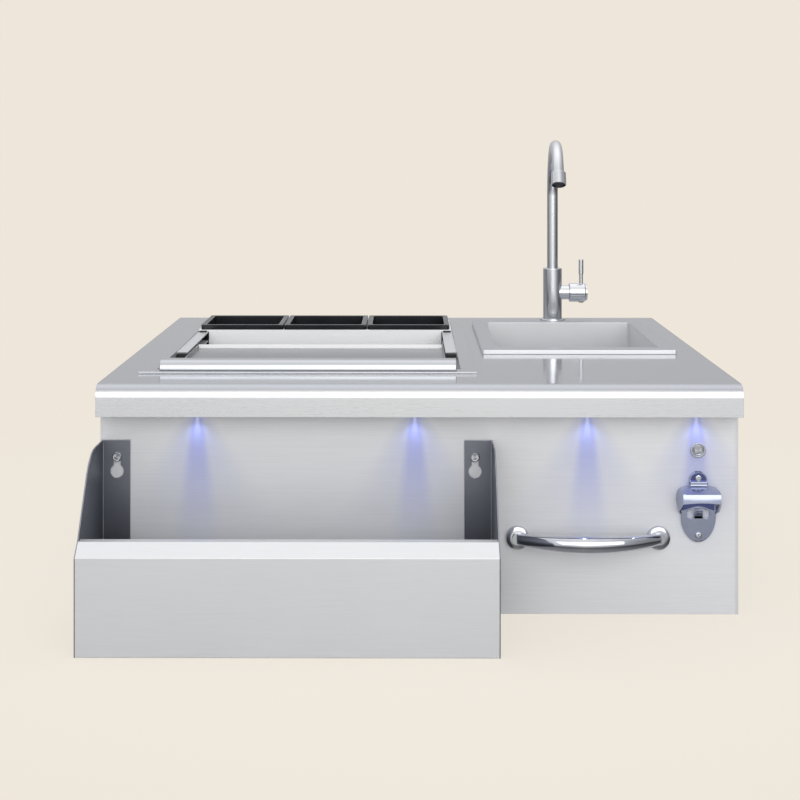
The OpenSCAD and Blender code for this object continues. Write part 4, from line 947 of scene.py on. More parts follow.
@dataclass
class TowelBar:
    """The bowed bar and its two domed rosettes."""

    centre_x: float = 201.6
    half: float = 84.0
    height_z: float = 91.4
    post: float = 9.0
    bow: float = 23.0
    end_radius: float = 6.5
    mid_radius: float = 10.0
    rosette_radius: float = 14.2
    rosette_height: float = 6.4
    slices: int = 28

    def bar(self) -> Bench:
        """Models the bar: a rod that is cut into slices, each swelled, moved out and turned along the bow."""
        start = (self.centre_x - self.half, FRONT_Y, self.height_z)
        bar = Bench.rod("towel_bar_bow", self.end_radius, 2 * self.half, start, Axis.X, 32)
        with bar as work:
            places = list(stations(-1.0, 1.0, self.slices))
            for share in places[1:-1]:
                work.cut((self.centre_x + share * self.half, 0, 0), (1, 0, 0))
            for share in places:
                x = self.centre_x + share * self.half
                rise = 1 - share * share
                swell = 1 + (self.mid_radius / self.end_radius - 1) * rise
                work.verts(lambda p, x=x: near(p.x, x, 0.01))
                work.resize((1, swell, swell), (x, FRONT_Y, self.height_z))
                work.move((0, -self.post - self.bow * rise, 0))
            work.faces(lambda c, n: abs(n.x) > 0.9 and abs(abs(c.x - self.centre_x) - self.half) < 0.1)
            work.inset(1.6, 1.6)
        return bar

    def rosette(self) -> Bench:
        """Models the left rosette: a disc drawn up in rings to a dome, with a collar where the bar leaves it."""
        x = self.centre_x - self.half
        dome = Bench.disc("towel_bar_rosette_left", self.rosette_radius, (x, FRONT_Y - 0.02, self.height_z), Axis.Y)
        with dome as work:
            bpy.ops.mesh.select_all(action="SELECT")
            work.extrude((0, -1.2, 0))
            for share in (0.35, 0.62, 0.82, 0.95, 1.0):
                rise = self.rosette_height * (math.sqrt(1 - (1 - share) ** 2)) - 1.2
                level = FRONT_Y - 1.2 - max(rise, 0.2)
                radius = self.rosette_radius * (1 - 0.5 * share * share)
                work.inset(0.4)
                chosen = [v.co / MM for v in bmesh.from_edit_mesh(dome.piece.data).verts if v.select]
                now = max((Vector((p.x - x, p.z - self.height_z)).length for p in chosen), default=1.0)
                work.resize((radius / now, 1, radius / now), (x, 0, self.height_z))
                work.move((0, level - chosen[0].y, 0))
            work.extrude((0, -2.6, 0))
            work.heal()
        return dome

    def build(self, finishes: Finishes) -> None:
        """Builds and dresses the bar and both rosettes."""
        dress(self.bar().done(50), finishes["chrome"], "case", "towel_bar", "towel_bar")
        left = self.rosette()
        right = left.copy("towel_bar_rosette_right", (2 * self.half, 0, 0))
        dress(left.done(), finishes["chrome"], "case", "towel_bar_rosettes", "towel_bar_rosettes")
        dress(right.done(), finishes["chrome"], "case", "towel_bar_rosettes")


@dataclass
class LightButton:
    """The push button that switches the lights, in its bezel."""

    x: float = 333.0
    z: float = 196.0
    bezel_radius: float = 9.0
    bezel_height: float = 2.0
    bore_radius: float = 6.4
    button_radius: float = 6.3
    proud: float = 3.6

    def build(self, finishes: Finishes) -> None:
        """Builds and dresses the bezel ring and the dished button."""
        ring = Bench.disc("button_bezel_ring", self.bezel_radius, (self.x, FRONT_Y - 0.02, self.z), Axis.Y, 64)
        with ring as work:
            bpy.ops.mesh.select_all(action="SELECT")
            work.extrude((0, -self.bezel_height, 0))
            work.inset(self.bezel_radius - self.bore_radius - 0.4)
            work.extrude((0, 6.0, 0))
            work.heal()
            work.edges(lambda a, b: near(a.y, b.y) and a.y < FRONT_Y - 1)
            work.bevel(1.3, 5)
        dress(ring.done(), finishes["chrome"], "case", "button_bezel", "button_bezel")
        start = (self.x, FRONT_Y + 4.0, self.z)
        button = Bench.rod("light_button_cap", self.button_radius - 0.25, -(4.0 + self.proud), start, Axis.Y, 48)
        with button as work:
            face_y = FRONT_Y - self.proud
            work.faces(lambda c, n: n.y < -0.9)
            work.inset(1.2, 0.0)
            work.inset(0.4, -0.7)
            work.edges(lambda a, b: near(a.y, face_y) and near(b.y, face_y))
            work.bevel(0.35, 3)
        dress(button.done(), finishes["bar"], "button", "light_button", "light_button")
        face = Bench.disc("light_button_face", self.button_radius - 1.95, (self.x, face_y + 0.62, self.z), Axis.Y, 48)
        with face as work:
            bpy.ops.mesh.select_all(action="SELECT")
            work.extrude((0, -0.25, 0))
            work.inset(0.5, 0.1)
            work.inset(1.6, -0.05)
            work.heal()
        dress(face.done(), finishes["spun"], "button", "light_button")


@dataclass
class RailStuds:
    """The two shoulder studs that the bottle rail hangs on, with their domed heads."""

    places: tuple[float, ...] = (-360.6, 66.6)
    z: float = 188.0
    head_radius: float = 5.85
    head_height: float = 2.6
    neck_radius: float = 3.9
    neck_length: float = 1.8

    def build(self, finishes: Finishes) -> None:
        """Builds the first stud and copies it."""
        x = self.places[0]
        seat = FRONT_Y - self.neck_length
        stud = Bench.rod("rail_stud_1", self.neck_radius, -self.neck_length - 0.3, (x, FRONT_Y + 0.3, self.z), Axis.Y)
        head = Bench.rod("head", self.head_radius, -self.head_height, (x, seat, self.z), Axis.Y)
        with head as work:
            work.edges(lambda a, b: near(a.y, b.y) and a.y < seat - 1)
            work.bevel(1.9, 5)
            work.faces(lambda c, n: n.y < -0.95)
            work.inset(0.6, -0.25)
        stud.join(head)
        thread = Bench.rod("thread", 2.5, 9.0, (x, FRONT_Y + 0.3, self.z), Axis.Y, 24)
        with thread as work:
            for y in stations(FRONT_Y + 5.5, FRONT_Y + 8.9, 8):
                work.cut((0, y, 0), (0, 1, 0))
            work.verts(lambda p: int((p.y - FRONT_Y) / 0.425) % 2 == 0 and p.y > FRONT_Y + 5.4)
            work.resize((0.86, 1, 0.86), (x, 0, self.z))
        stud.join(thread)
        twin = stud.copy("rail_stud_2", (self.places[1] - x, 0, 0))
        dress(stud.done(), finishes["spun"], "case", "rail_studs", "rail_studs")
        dress(twin.done(), finishes["spun"], "case", "rail_studs")


@dataclass
class BottleOpener:
    """The wall opener: a round tab, a slanting neck, a rounded hood with open cheeks, a shield and a tooth."""

    x: float = 333.0
    top_z: float = 171.0
    thick: float = 3.0
    tab_half: float = 10.85
    plate_half: float = 20.75
    hood_half: float = 22.4
    hood_out: float = 28.0
    wall: float = 2.2
    screw_z: tuple[float, float] = (163.0, 95.0)

    def spot(self, side: float, out: float, drop: float) -> Point:
        """The place that lies sideways, outwards and downwards from the opener's top."""
        return self.x + side, FRONT_Y - out, self.top_z - drop

    def shield(self) -> Bench:
        """Models the flat plate: a bar that grows up into the round tab and down into the shield, step by step."""
        plate = Bench.box("opener_plate", self.spot(-self.tab_half, self.thick, 30.0), self.spot(self.tab_half, 0.0, 10.85))
        arc = [(self.tab_half * (1 - math.sin(math.radians(a))), self.tab_half * math.cos(math.radians(a)))
               for a in (20, 40, 58, 74, 86)]
        shield = ((34.0, 20.75), (53.0, 20.75), (58.0, 20.5), (63.0, 19.6), (68.0, 18.2), (73.0, 15.9),
                  (77.0, 13.1), (80.0, 10.2), (82.3, 7.0), (83.5, 4.0), (84.0, 1.5))
        with plate as work:
            level = 10.85
            for drop, half in arc:
                work.faces(lambda c, n: n.z > 0.9 and c.z > self.top_z - 12).extrude((0, 0, level - drop))
                work.widen(half, self.x)
                level = drop
            level = 30.0
            for drop, half in shield:
                work.faces(lambda c, n: n.z < -0.9 and c.z < self.top_z - 29).extrude((0, 0, level - drop))
                work.widen(half, self.x)
                level = drop
            work.heal()
        for side in (-9.4, 9.4):
            slot = Bench.rod("slot", 4.2, -12.0, self.spot(side, -3.0, 52.8), Axis.Y, 24)
            with slot as work:
                work.faces(lambda c, n: n.z > 0.2 and abs(n.y) < 0.5)
                work.extrude((0, 0, 2.6))
                work.heal()
            plate.carve(slot)
        plate.carve(Bench.box("gap", self.spot(-8.0, 9.0, 52.0), self.spot(8.0, -3.0, 44.0)))
        return plate.round_edges(0.6, 2, 30)

    def hood(self) -> Bench:
        """Models the hood: a box cut in rows, opened below and behind, drawn to its slopes, then given a wall."""
        rows, outs = (16.7, 19.5, 22.4, 28.0, 33.5, 43.0, 52.0), (0.4, 8.0, 18.0, self.hood_out)
        half = self.hood_half
        hood = Bench.box("opener_hood", self.spot(-half, self.hood_out, rows[-1]), self.spot(half, outs[0], rows[0]))
        with hood as work:
            for side in (-16.0, -8.0, 0.0, 8.0, 16.0):
                work.cut((self.x + side, 0, 0), (1, 0, 0))
            for drop in rows[1:-1]:
                work.cut((0, 0, self.top_z - drop), (0, 0, 1))
            for out in outs[1:-1]:
                work.cut((0, FRONT_Y - out, 0), (0, 1, 0))
            work.faces(lambda c, n: n.z < -0.9 or n.y > 0.9 or (n.y < -0.9 and c.z < self.top_z - rows[4]))
            work.drop("ONLY_FACE")
            self.slope(work, rows, outs)
            self.flare(work, outs)
            for drop, back in ((rows[2], 1.7), (rows[3], 0.3)):
                work.verts(lambda p, drop=drop: p.y < FRONT_Y - self.hood_out + 0.5 and near(p.z, self.top_z - drop, 0.4))
                work.move((0, back, 0))
            for side, lift in ((0.0, 1.5), (-8.0, 1.2), (8.0, 1.2), (-16.0, 0.6), (16.0, 0.6)):
                work.verts(lambda p, side=side: near(p.x, self.x + side, 0.5) and p.y < FRONT_Y - self.hood_out + 0.5
                           and p.z < self.top_z - 33.0)
                work.move((0, 0, lift))
            work.heal()
        hood.modifier("SOLIDIFY", thickness=self.wall * MM, offset=-1.0, use_even_offset=False)
        return hood.round_edges(1.1, 3, 28)

    def slope(self, work: Bench, rows: Sequence[float], outs: Sequence[float]) -> None:
        """Draws the rows above the front face and below the cheeks onto their slopes.

        Args:
            work: the hood in edit mode.
            rows: the drops at which it is cut.
            outs: the distances from the wall at which it is cut.
        """
        for out in outs[1:]:
            share = (out - outs[1]) / (self.hood_out - outs[1])
            roof = rows[0] + share * (rows[2] - rows[0])
            foot = rows[-1] - (out - outs[0]) / (self.hood_out - outs[0]) * (rows[-1] - rows[4])
            for drop in rows:
                target = min(max(drop, roof), foot)
                if near(target, drop):
                    continue
                work.verts(lambda p, out=out, drop=drop: near(p.y, FRONT_Y - out) and near(p.z, self.top_z - drop))
                work.move((0, 0, drop - target))

    def flare(self, work: Bench, outs: Sequence[float]) -> None:
        """Widens the hood towards the wall, most at the middle of its cheeks.

        Args:
            work: the hood in edit mode.
            outs: the distances from the wall at which it is cut.
        """
        shoulder = ((17.6, 11.0), (20.5, 21.0), (25.0, 24.4), (31.0, 26.0), (38.0, 26.4), (48.0, 24.6), (60.0, 20.75))
        for out, share in zip(outs[:3], (1.0, 0.7, 0.3)):
            above = -10.0
            for drop, half in shoulder:
                work.verts(lambda p, out=out, a=above, b=drop: near(p.y, FRONT_Y - out)
                           and a < self.top_z - p.z <= b)
                wide = share * half + (1 - share) * self.hood_half
                work.resize((wide / self.hood_half, 1, 1), (self.x, FRONT_Y, 0))
                above = drop

    def mouth(self) -> Bench:
        """Models a plate laid just proud of the shield behind the tooth, arched along its lower edge, to carry painted
        shade for the hood's mouth.
        """
        mouth = Bench.box("opener_mouth", self.spot(-19.0, self.thick + 0.5, 46.5), self.spot(19.0, self.thick - 0.4, 30.0))
        with mouth as work:
            for side in (-13.0, -6.5, 0.0, 6.5, 13.0):
                work.cut((self.x + side, 0, 0), (1, 0, 0))
            for side, lift in ((0.0, 5.2), (-6.5, 4.4), (6.5, 4.4), (-13.0, 1.8), (13.0, 1.8)):
                work.verts(lambda p, side=side: near(p.x, self.x + side) and p.z < self.top_z - 46.0)
                work.move((0, 0, lift))
        return mouth.round_edges(0.3, 2, 40)

    def tab_face(self) -> Bench:
        """Models a thin face over the round tab, which carries a painted reflection."""
        disc = Bench.disc("opener_tab_face", self.tab_half - 1.5, self.spot(0.0, self.thick - 0.3, 10.85), Axis.Y, 48)
        with disc as work:
            bpy.ops.mesh.select_all(action="SELECT")
            work.extrude((0, -0.6, 0))
            work.verts(lambda p: p.z < self.top_z - 11.2)
            work.resize((1, 1, 0.04), (self.x, FRONT_Y, self.top_z - 11.2))
            work.heal()
        return disc.round_edges(0.25, 2, 40)

    def neck(self) -> Bench:
        """Models the collar between the tab and the hood: a block with softened edges that flares at its foot."""
        neck = Bench.box("opener_neck", self.spot(-self.tab_half + 0.3, 7.6, 19.0), self.spot(self.tab_half - 0.3, 0.3, 11.2))
        with neck as work:
            work.cut((0, 0, self.top_z - 15.8), (0, 0, 1))
            work.verts(lambda p: p.z < self.top_z - 18 and p.y < FRONT_Y - 2)
            work.move((0, -5.0, 0))
            work.verts(lambda p: p.z < self.top_z - 18)
            work.resize((1.25, 1, 1), (self.x, FRONT_Y, 0))
        return neck.round_edges(1.0, 3, 20)

    def tooth(self) -> Bench:
        """Models the tooth that lifts the cap, bent out of the plate."""
        tooth = Bench.box("opener_tooth", self.spot(-5.0, self.thick, 56.0), self.spot(5.0, 0.4, 53.0))
        with tooth as work:
            for up, out, narrow in ((3.0, 2.6, 0.94), (3.0, 3.2, 0.9), (2.4, 1.2, 0.88)):
                work.faces(lambda c, n: n.z > 0.2 and c.z > self.top_z - 53.1).extrude((0, -out, up))
                work.resize((narrow, 1, 1), (self.x, 0, 0))
            work.heal()
        return tooth.round_edges(0.5, 2, 30)

    def build(self, finishes: Finishes) -> None:
        """Builds the casting and its screws."""
        body = self.shield()
        for part in (self.hood(), self.neck(), self.tooth()):
            body.join(part)
        body.piece.name = body.piece.data.name = "bottle_opener_casting"
        dress(body.done(40), finishes["casting"], "case", "bottle_opener", "bottle_opener")
        # Painted shade in the mouth and a painted reflection on the tab
        for part in (self.mouth(), self.tab_face()):
            dress(part.done(40), finishes["shade"], "case", "bottle_opener")
        first = ScrewHead(radius=4.0, height=1.7).build("opener_screw_1", (self.x, FRONT_Y - self.thick, self.screw_z[0]))
        second = first.copy("opener_screw_2", (0, 0, self.screw_z[1] - self.screw_z[0]))
        dress(first.done(), finishes["chrome"], "case", "opener_screws", "opener_screws")
        dress(second.done(), finishes["chrome"], "case", "opener_screws")


# Bottle rail
@dataclass
class BottleRail:
    """The bottle rail: a bent trough, two end plates with their flanges, and a keyhole in each flange."""

    left: float = -379.0
    right: float = 88.0
    back_y: float = -315.05
    front_y: float = -468.25
    front_z: float = 109.0
    bevel_out: float = 16.0
    bevel_up: float = 13.7
    hem: float = 12.0
    back_z: float = 60.0
    top_z: float = 208.0
    flange: float = 34.0
    sheet: float = 1.5
    studs: tuple[float, float] = (-360.6, 66.6)
    stud_z: float = 188.0

    def trough(self) -> Bench:
        """Models the trough: a strip drawn along its own profile, folded, given its thickness and rounded."""
        top = self.front_z + self.bevel_up
        strip = Bench.box("bottle_rail_trough", (self.left + 0.1, self.back_y - self.sheet, self.back_z - 1.0),
                          (self.right - 0.1, self.back_y - 0.05, self.back_z - 0.05))
        low, inner = self.sheet * 1.2, self.back_y - self.sheet
        with strip as work:
            work.faces(lambda c, n: n.z < -0.9).extrude((0, 0, low - self.back_z + 1.0))
            work.extrude((0, 0, 0.05 - low))
            work.faces(lambda c, n: n.y < -0.9 and c.z < low)
            work.extrude((0, self.front_y + self.sheet - inner, 0))
            work.extrude((0, -self.sheet + 0.05, 0))
            work.faces(lambda c, n: n.z > 0.9 and c.y < self.front_y + self.sheet)
            work.extrude((0, 0, self.front_z - low))
            work.extrude((0, 0, self.bevel_up))
            work.move((0, self.bevel_out, 0))
            work.heal()
        hem = Bench.box("hem", (self.left + 0.1, self.front_y + self.bevel_out + 0.4, top - 1.3),
                        (self.right - 0.1, self.front_y + self.bevel_out + self.hem, top - 0.1))
        strip.join(hem)
        return strip.round_edges(0.9, 3, 25)

    def plate(self) -> Bench:
        """Models the left end plate: its outline is grown step by step from the back, then the flange is joined to it.
        """
        x = self.left
        depth, reach = self.back_y - self.front_y, 137.2
        plate = Bench.box("bottle_rail_plate_left", (x + 0.05, self.back_y - 45.0, 0.05), (x + self.sheet, self.back_y - 0.05, self.top_z))
        arc = [(45.0 + 57.0 * math.sin(math.radians(a)), self.top_z - 57.0 * (1 - math.cos(math.radians(a))))
               for a in (10, 20, 30, 40, 50, 58)]
        steps = arc + [(reach, self.front_z + self.bevel_up), (depth, self.front_z)]
        with plate as work:
            out = 45.0
            for along, height in steps:
                work.faces(lambda c, n: n.y < -0.9 and c.y < self.back_y - 44.0)
                work.extrude((0, out - along, 0))
                chosen = [v.co.z / MM for v in bmesh.from_edit_mesh(plate.piece.data).verts if v.select]
                work.resize((1, 1, (height - 0.05) / (max(chosen) - 0.05)), (x, 0, 0.05))
                out = along
            work.heal()
        flange = Bench.box("flange", (x + 0.3, self.back_y - self.sheet, self.back_z + 0.1), (x + self.flange, self.back_y - 0.05, self.top_z - 0.05))
        for radius, low, high in ((4.2, self.stud_z - 17.3, self.stud_z), (7.85, self.stud_z - 17.3, self.stud_z - 17.3)):
            hole = Bench.rod("hole", radius, 8.0, (self.studs[0], self.back_y - 5.0, low), Axis.Y, 32)
            if high > low:
                with hole as work:
                    work.faces(lambda c, n: n.z > 0.2 and abs(n.y) < 0.5)
                    work.extrude((0, 0, high - low))
                    work.heal()
            flange.carve(hole)
        return plate.join(flange)

    def build(self, finishes: Finishes) -> None:
        """Builds the trough and both end plates; the right plate is the left one mirrored in edit mode."""
        dress(self.trough().done(30), finishes["rail"], "rail", "bottle_rail", "bottle_rail")
        left = self.plate()
        right = left.copy("bottle_rail_plate_right")
        middle = (self.left + self.right) / 2
        with right as work:
            bpy.ops.mesh.select_all(action="SELECT")
            work.resize((-1, 1, 1), (middle, 0, 0))
            bpy.ops.mesh.flip_normals()
            shift = self.right - self.studs[1] - (self.studs[0] - self.left)
            work.verts(lambda p: abs(p.x - (self.right - (self.studs[0] - self.left))) < 9.0 and p.z < self.stud_z + 5
                       and p.z > self.stud_z - 26 and p.y > self.back_y - 2)
            work.move((-shift, 0, 0))
        for plate in (left, right):
            plate.round_edges(0.35, 2, 40)
            dress(plate.done(30), finishes["ear"], "rail", "bottle_rail")


@dataclass
class IceLid:
    """The sliding lid: a flat panel with turned up lips, and the rolled bar that it is pushed by."""

    bar_radius: float = 7.5
    sheet: float = 1.5
    lip: float = 5.5

    def bar(self) -> Bench:
        """Bends the bar: a box whose four long edges are rolled, with its ends closed and softened."""
        low, high = corners("ice_lid")
        back = self.bar_back()
        with Bench.box("lid_bar", (low.x, low.y, high.z - 13.7), (high.x, back, high.z)) as work:
            work.edges(lambda a, b: near(a.y, b.y) and near(a.z, b.z) and a.z > high.z - 1 and a.y < back - 1)
            work.bevel(11.0, 10)
            work.edges(lambda a, b: near(a.y, b.y) and near(a.z, b.z) and a.z > high.z - 1 and a.y > back - 1)
            work.bevel(3.0, 4)
            work.edges(lambda a, b: near(a.y, b.y) and near(a.z, b.z) and a.z < high.z - 13 and a.y < back - 1)
            work.bevel(2.2, 4)
        return work.round_edges(1.6, 4, 50.0)

    def bar_back(self) -> float:
        """Where the bar ends towards the back."""
        return corners("ice_lid")[0].y + 25.15

    def panel(self) -> Bench:
        """Folds the panel: a flat sheet behind the bar with three edges turned up."""
        low, high = corners("ice_lid")
        left, right = low.x + 10.25, high.x - 10.25
        front, top = self.bar_back() - 1.3, low.z + self.sheet
        with Bench.box("lid_panel", (left, front, low.z), (right, high.y, top)) as work:
            work.cut((left + self.sheet, 0, 0), (1, 0, 0))
            work.cut((right - self.sheet, 0, 0), (1, 0, 0))
            work.cut((0, high.y - self.sheet, 0), (0, 1, 0))
            work.faces(lambda c, n: n.z > 0.9 and (c.x < left + self.sheet or c.x > right - self.sheet
                                                   or c.y > high.y - self.sheet))
            work.extrude((0, 0, self.lip))
        return work.round_edges(0.5, 3, 50.0)

    def rear_lip(self) -> Bench:
        """Lays a strip over the lip at the panel's far edge, which build dresses in the caddy's painted light: a
        painted highlight.
        """
        low, high = corners("ice_lid")
        y, top = high.y - self.sheet, low.z + self.sheet + self.lip
        with Bench.box("lid_rear_hem", (low.x + 12.0, y - 0.9, low.z + self.sheet + 0.1), (high.x - 12.0, y - 0.05, top)) as work:
            work.faces(lambda c, n: n.z > 0.9)
            work.extrude((0, 0, 0.2))
            work.inset(0.2)
        return work.round_edges(0.3, 2, 50.0)

    def build(self, finishes: Finishes) -> None:
        """Models and dresses both."""
        # Painted highlight: the rear lip in the near white caddy finish
        dress(self.rear_lip().done(), finishes["caddy"], "lid", "ice_lid")
        dress(self.panel().done(), finishes["lid"], "lid", "ice_lid", "ice_lid")
        dress(self.bar().done(), finishes["bar"], "lid", "ice_lid")


@dataclass
class BinFlange:
    """The flange of the ice bin: a frame that lies on the worktop, with a hem along its front."""

    proud: float = 0.25
    hem: float = 2.9
    depth: float = 3.2

    def frame(self) -> Bench:
        """Cuts the frame out of one sheet and turns its front edge up into a hem."""
        low, high = corners("ice_bin_liner")
        base, top = high.z - 1.2, high.z + self.proud
        inner = ((low.x + 19.0, low.y + 31.0), (high.x - 19.0, high.y - 24.0))
        with Bench.box("ice_bin_flange", (low.x, low.y, base + 0.2), (high.x, high.y, top)) as work:
            for x in (inner[0][0], inner[1][0]):
                work.cut((x, 0, 0), (1, 0, 0))
            for y in (inner[0][1], inner[1][1], low.y + self.depth):
                work.cut((0, y, 0), (0, 1, 0))
            work.faces(lambda c, n: abs(n.z) > 0.9 and inner[0][0] < c.x < inner[1][0] and inner[0][1] < c.y < inner[1][1])
            work.drop()
            work.edges(lambda a, b: self.on_hole(a, inner) and self.on_hole(b, inner))
            work.bridge()
            work.faces(lambda c, n: n.z > 0.9 and c.y < low.y + self.depth)
            work.extrude((0, 0, self.hem - 1.45))
        return work.round_edges(0.5, 3, 50.0)

    @staticmethod
    def on_hole(point: Vector, inner: tuple[tuple[float, float], tuple[float, float]]) -> bool:
        """Whether a point lies on the rim of the frame's opening."""
        (x0, y0), (x1, y1) = inner
        inside = x0 - 0.1 < point.x < x1 + 0.1 and y0 - 0.1 < point.y < y1 + 0.1
        return inside and (near(point.x, x0) or near(point.x, x1) or near(point.y, y0) or near(point.y, y1))

    def build(self, finishes: Finishes) -> None:
        """Models and dresses the frame."""
        dress(self.frame().done(), finishes["deck"], "case", "ice_bin_liner")


@dataclass
class TrayRims:
    """The rounded rim that runs round the top of each condiment tray, dressed paler as a painted highlight."""

    width: float = 5.2
    proud: float = 0.3
    height: float = 2.4
    bodies: tuple[tuple[str, str], ...] = (("tray_left", "left_tray"), ("tray_middle", "middle_tray"),
                                           ("tray_right", "right_tray"))

    def ring(self, tray: str) -> Bench:
        """Cuts the ring out of a plate and rounds it.

        Args:
            tray: the CAD node of the tray.

        Returns:
            The ring.
        """
        low, high = corners(tray)
        left, right, front, back = low.x + 0.4, high.x - 0.4, low.y + 0.4, high.y - 0.4
        (x0, y0), (x1, y1) = inner = ((left + self.width, front + self.width), (right - self.width, back - self.width))
        with Bench.box(f"{tray}_rim", (left, front, high.z - self.height), (right, back, high.z + self.proud)) as work:
            for x in (x0, x1):
                work.cut((x, 0, 0), (1, 0, 0))
            for y in (y0, y1):
                work.cut((0, y, 0), (0, 1, 0))
            work.faces(lambda c, n: abs(n.z) > 0.9 and x0 < c.x < x1 and y0 < c.y < y1)
            work.drop()
            work.edges(lambda a, b: BinFlange.on_hole(a, inner) and BinFlange.on_hole(b, inner))
            work.bridge()
        return work.round_edges(1.1, 4, 50.0)

    def build(self, finishes: Finishes) -> None:
        """Models and dresses the three rims."""
        for tray, body in self.bodies:
            dress(self.ring(tray).done(50), finishes["rim"], body, tray)
# Tubs: sink and trays
@dataclass
class Tub:
    """An open tub with a flat rim. Its inside and its outside are both drawn down from the rim plate."""

    low: Point
    high: Point
    rim: float
    wall: float
    floor_z: float
    corner: float
    foot: float
    draft: float = 1.0
    rim_corner: float = 2.0

    def ring(self, p: Vector, grow: float) -> bool:
        """Whether a point lies inside the rim's outline, drawn in by a step."""
        return (self.low[0] + grow < p.x < self.high[0] - grow) and (self.low[1] + grow < p.y < self.high[1] - grow)

    def build(self, name: str) -> Bench:
        """Models the tub.

        Args:
            name: the piece's name.

        Returns:
            The bench that holds it.
        """
        middle = [(a + b) / 2 for a, b in zip(self.low, self.high)]
        tub = Bench.box(name, self.low, self.high)
        with tub as work:
            work.faces(lambda c, n: n.z > 0.9)
            work.inset(self.rim)
            work.extrude((0, 0, self.floor_z - self.high[2]))
            work.resize((self.draft, self.draft, 1), middle)
            work.faces(lambda c, n: n.z < -0.9)
            work.inset(self.rim - self.wall)
            work.extrude((0, 0, self.floor_z - self.wall - self.low[2]))
            work.resize((self.draft, self.draft, 1), middle)
            work.edges(lambda a, b: abs(a.z - b.z) > 20 and self.ring(a, self.rim - self.wall / 2))
            work.bevel(self.corner, 5)
            work.edges(lambda a, b: abs(a.z - b.z) > 20 and not self.ring(a, self.rim - self.wall / 2))
            work.bevel(self.corner + self.wall, 5)
            for level in (self.floor_z, self.floor_z - self.wall):
                work.edges(lambda a, b, level=level: near(a.z, level) and near(b.z, level)
                           and (a - b).length < 600)
                work.bevel(self.foot, 4)
            work.edges(lambda a, b: self.low[2] - 0.1 < min(a.z, b.z) and not near(a.z, b.z)
                       and not self.ring(a, 0.1))
            work.bevel(self.rim_corner, 4)
            work.heal()
        return tub


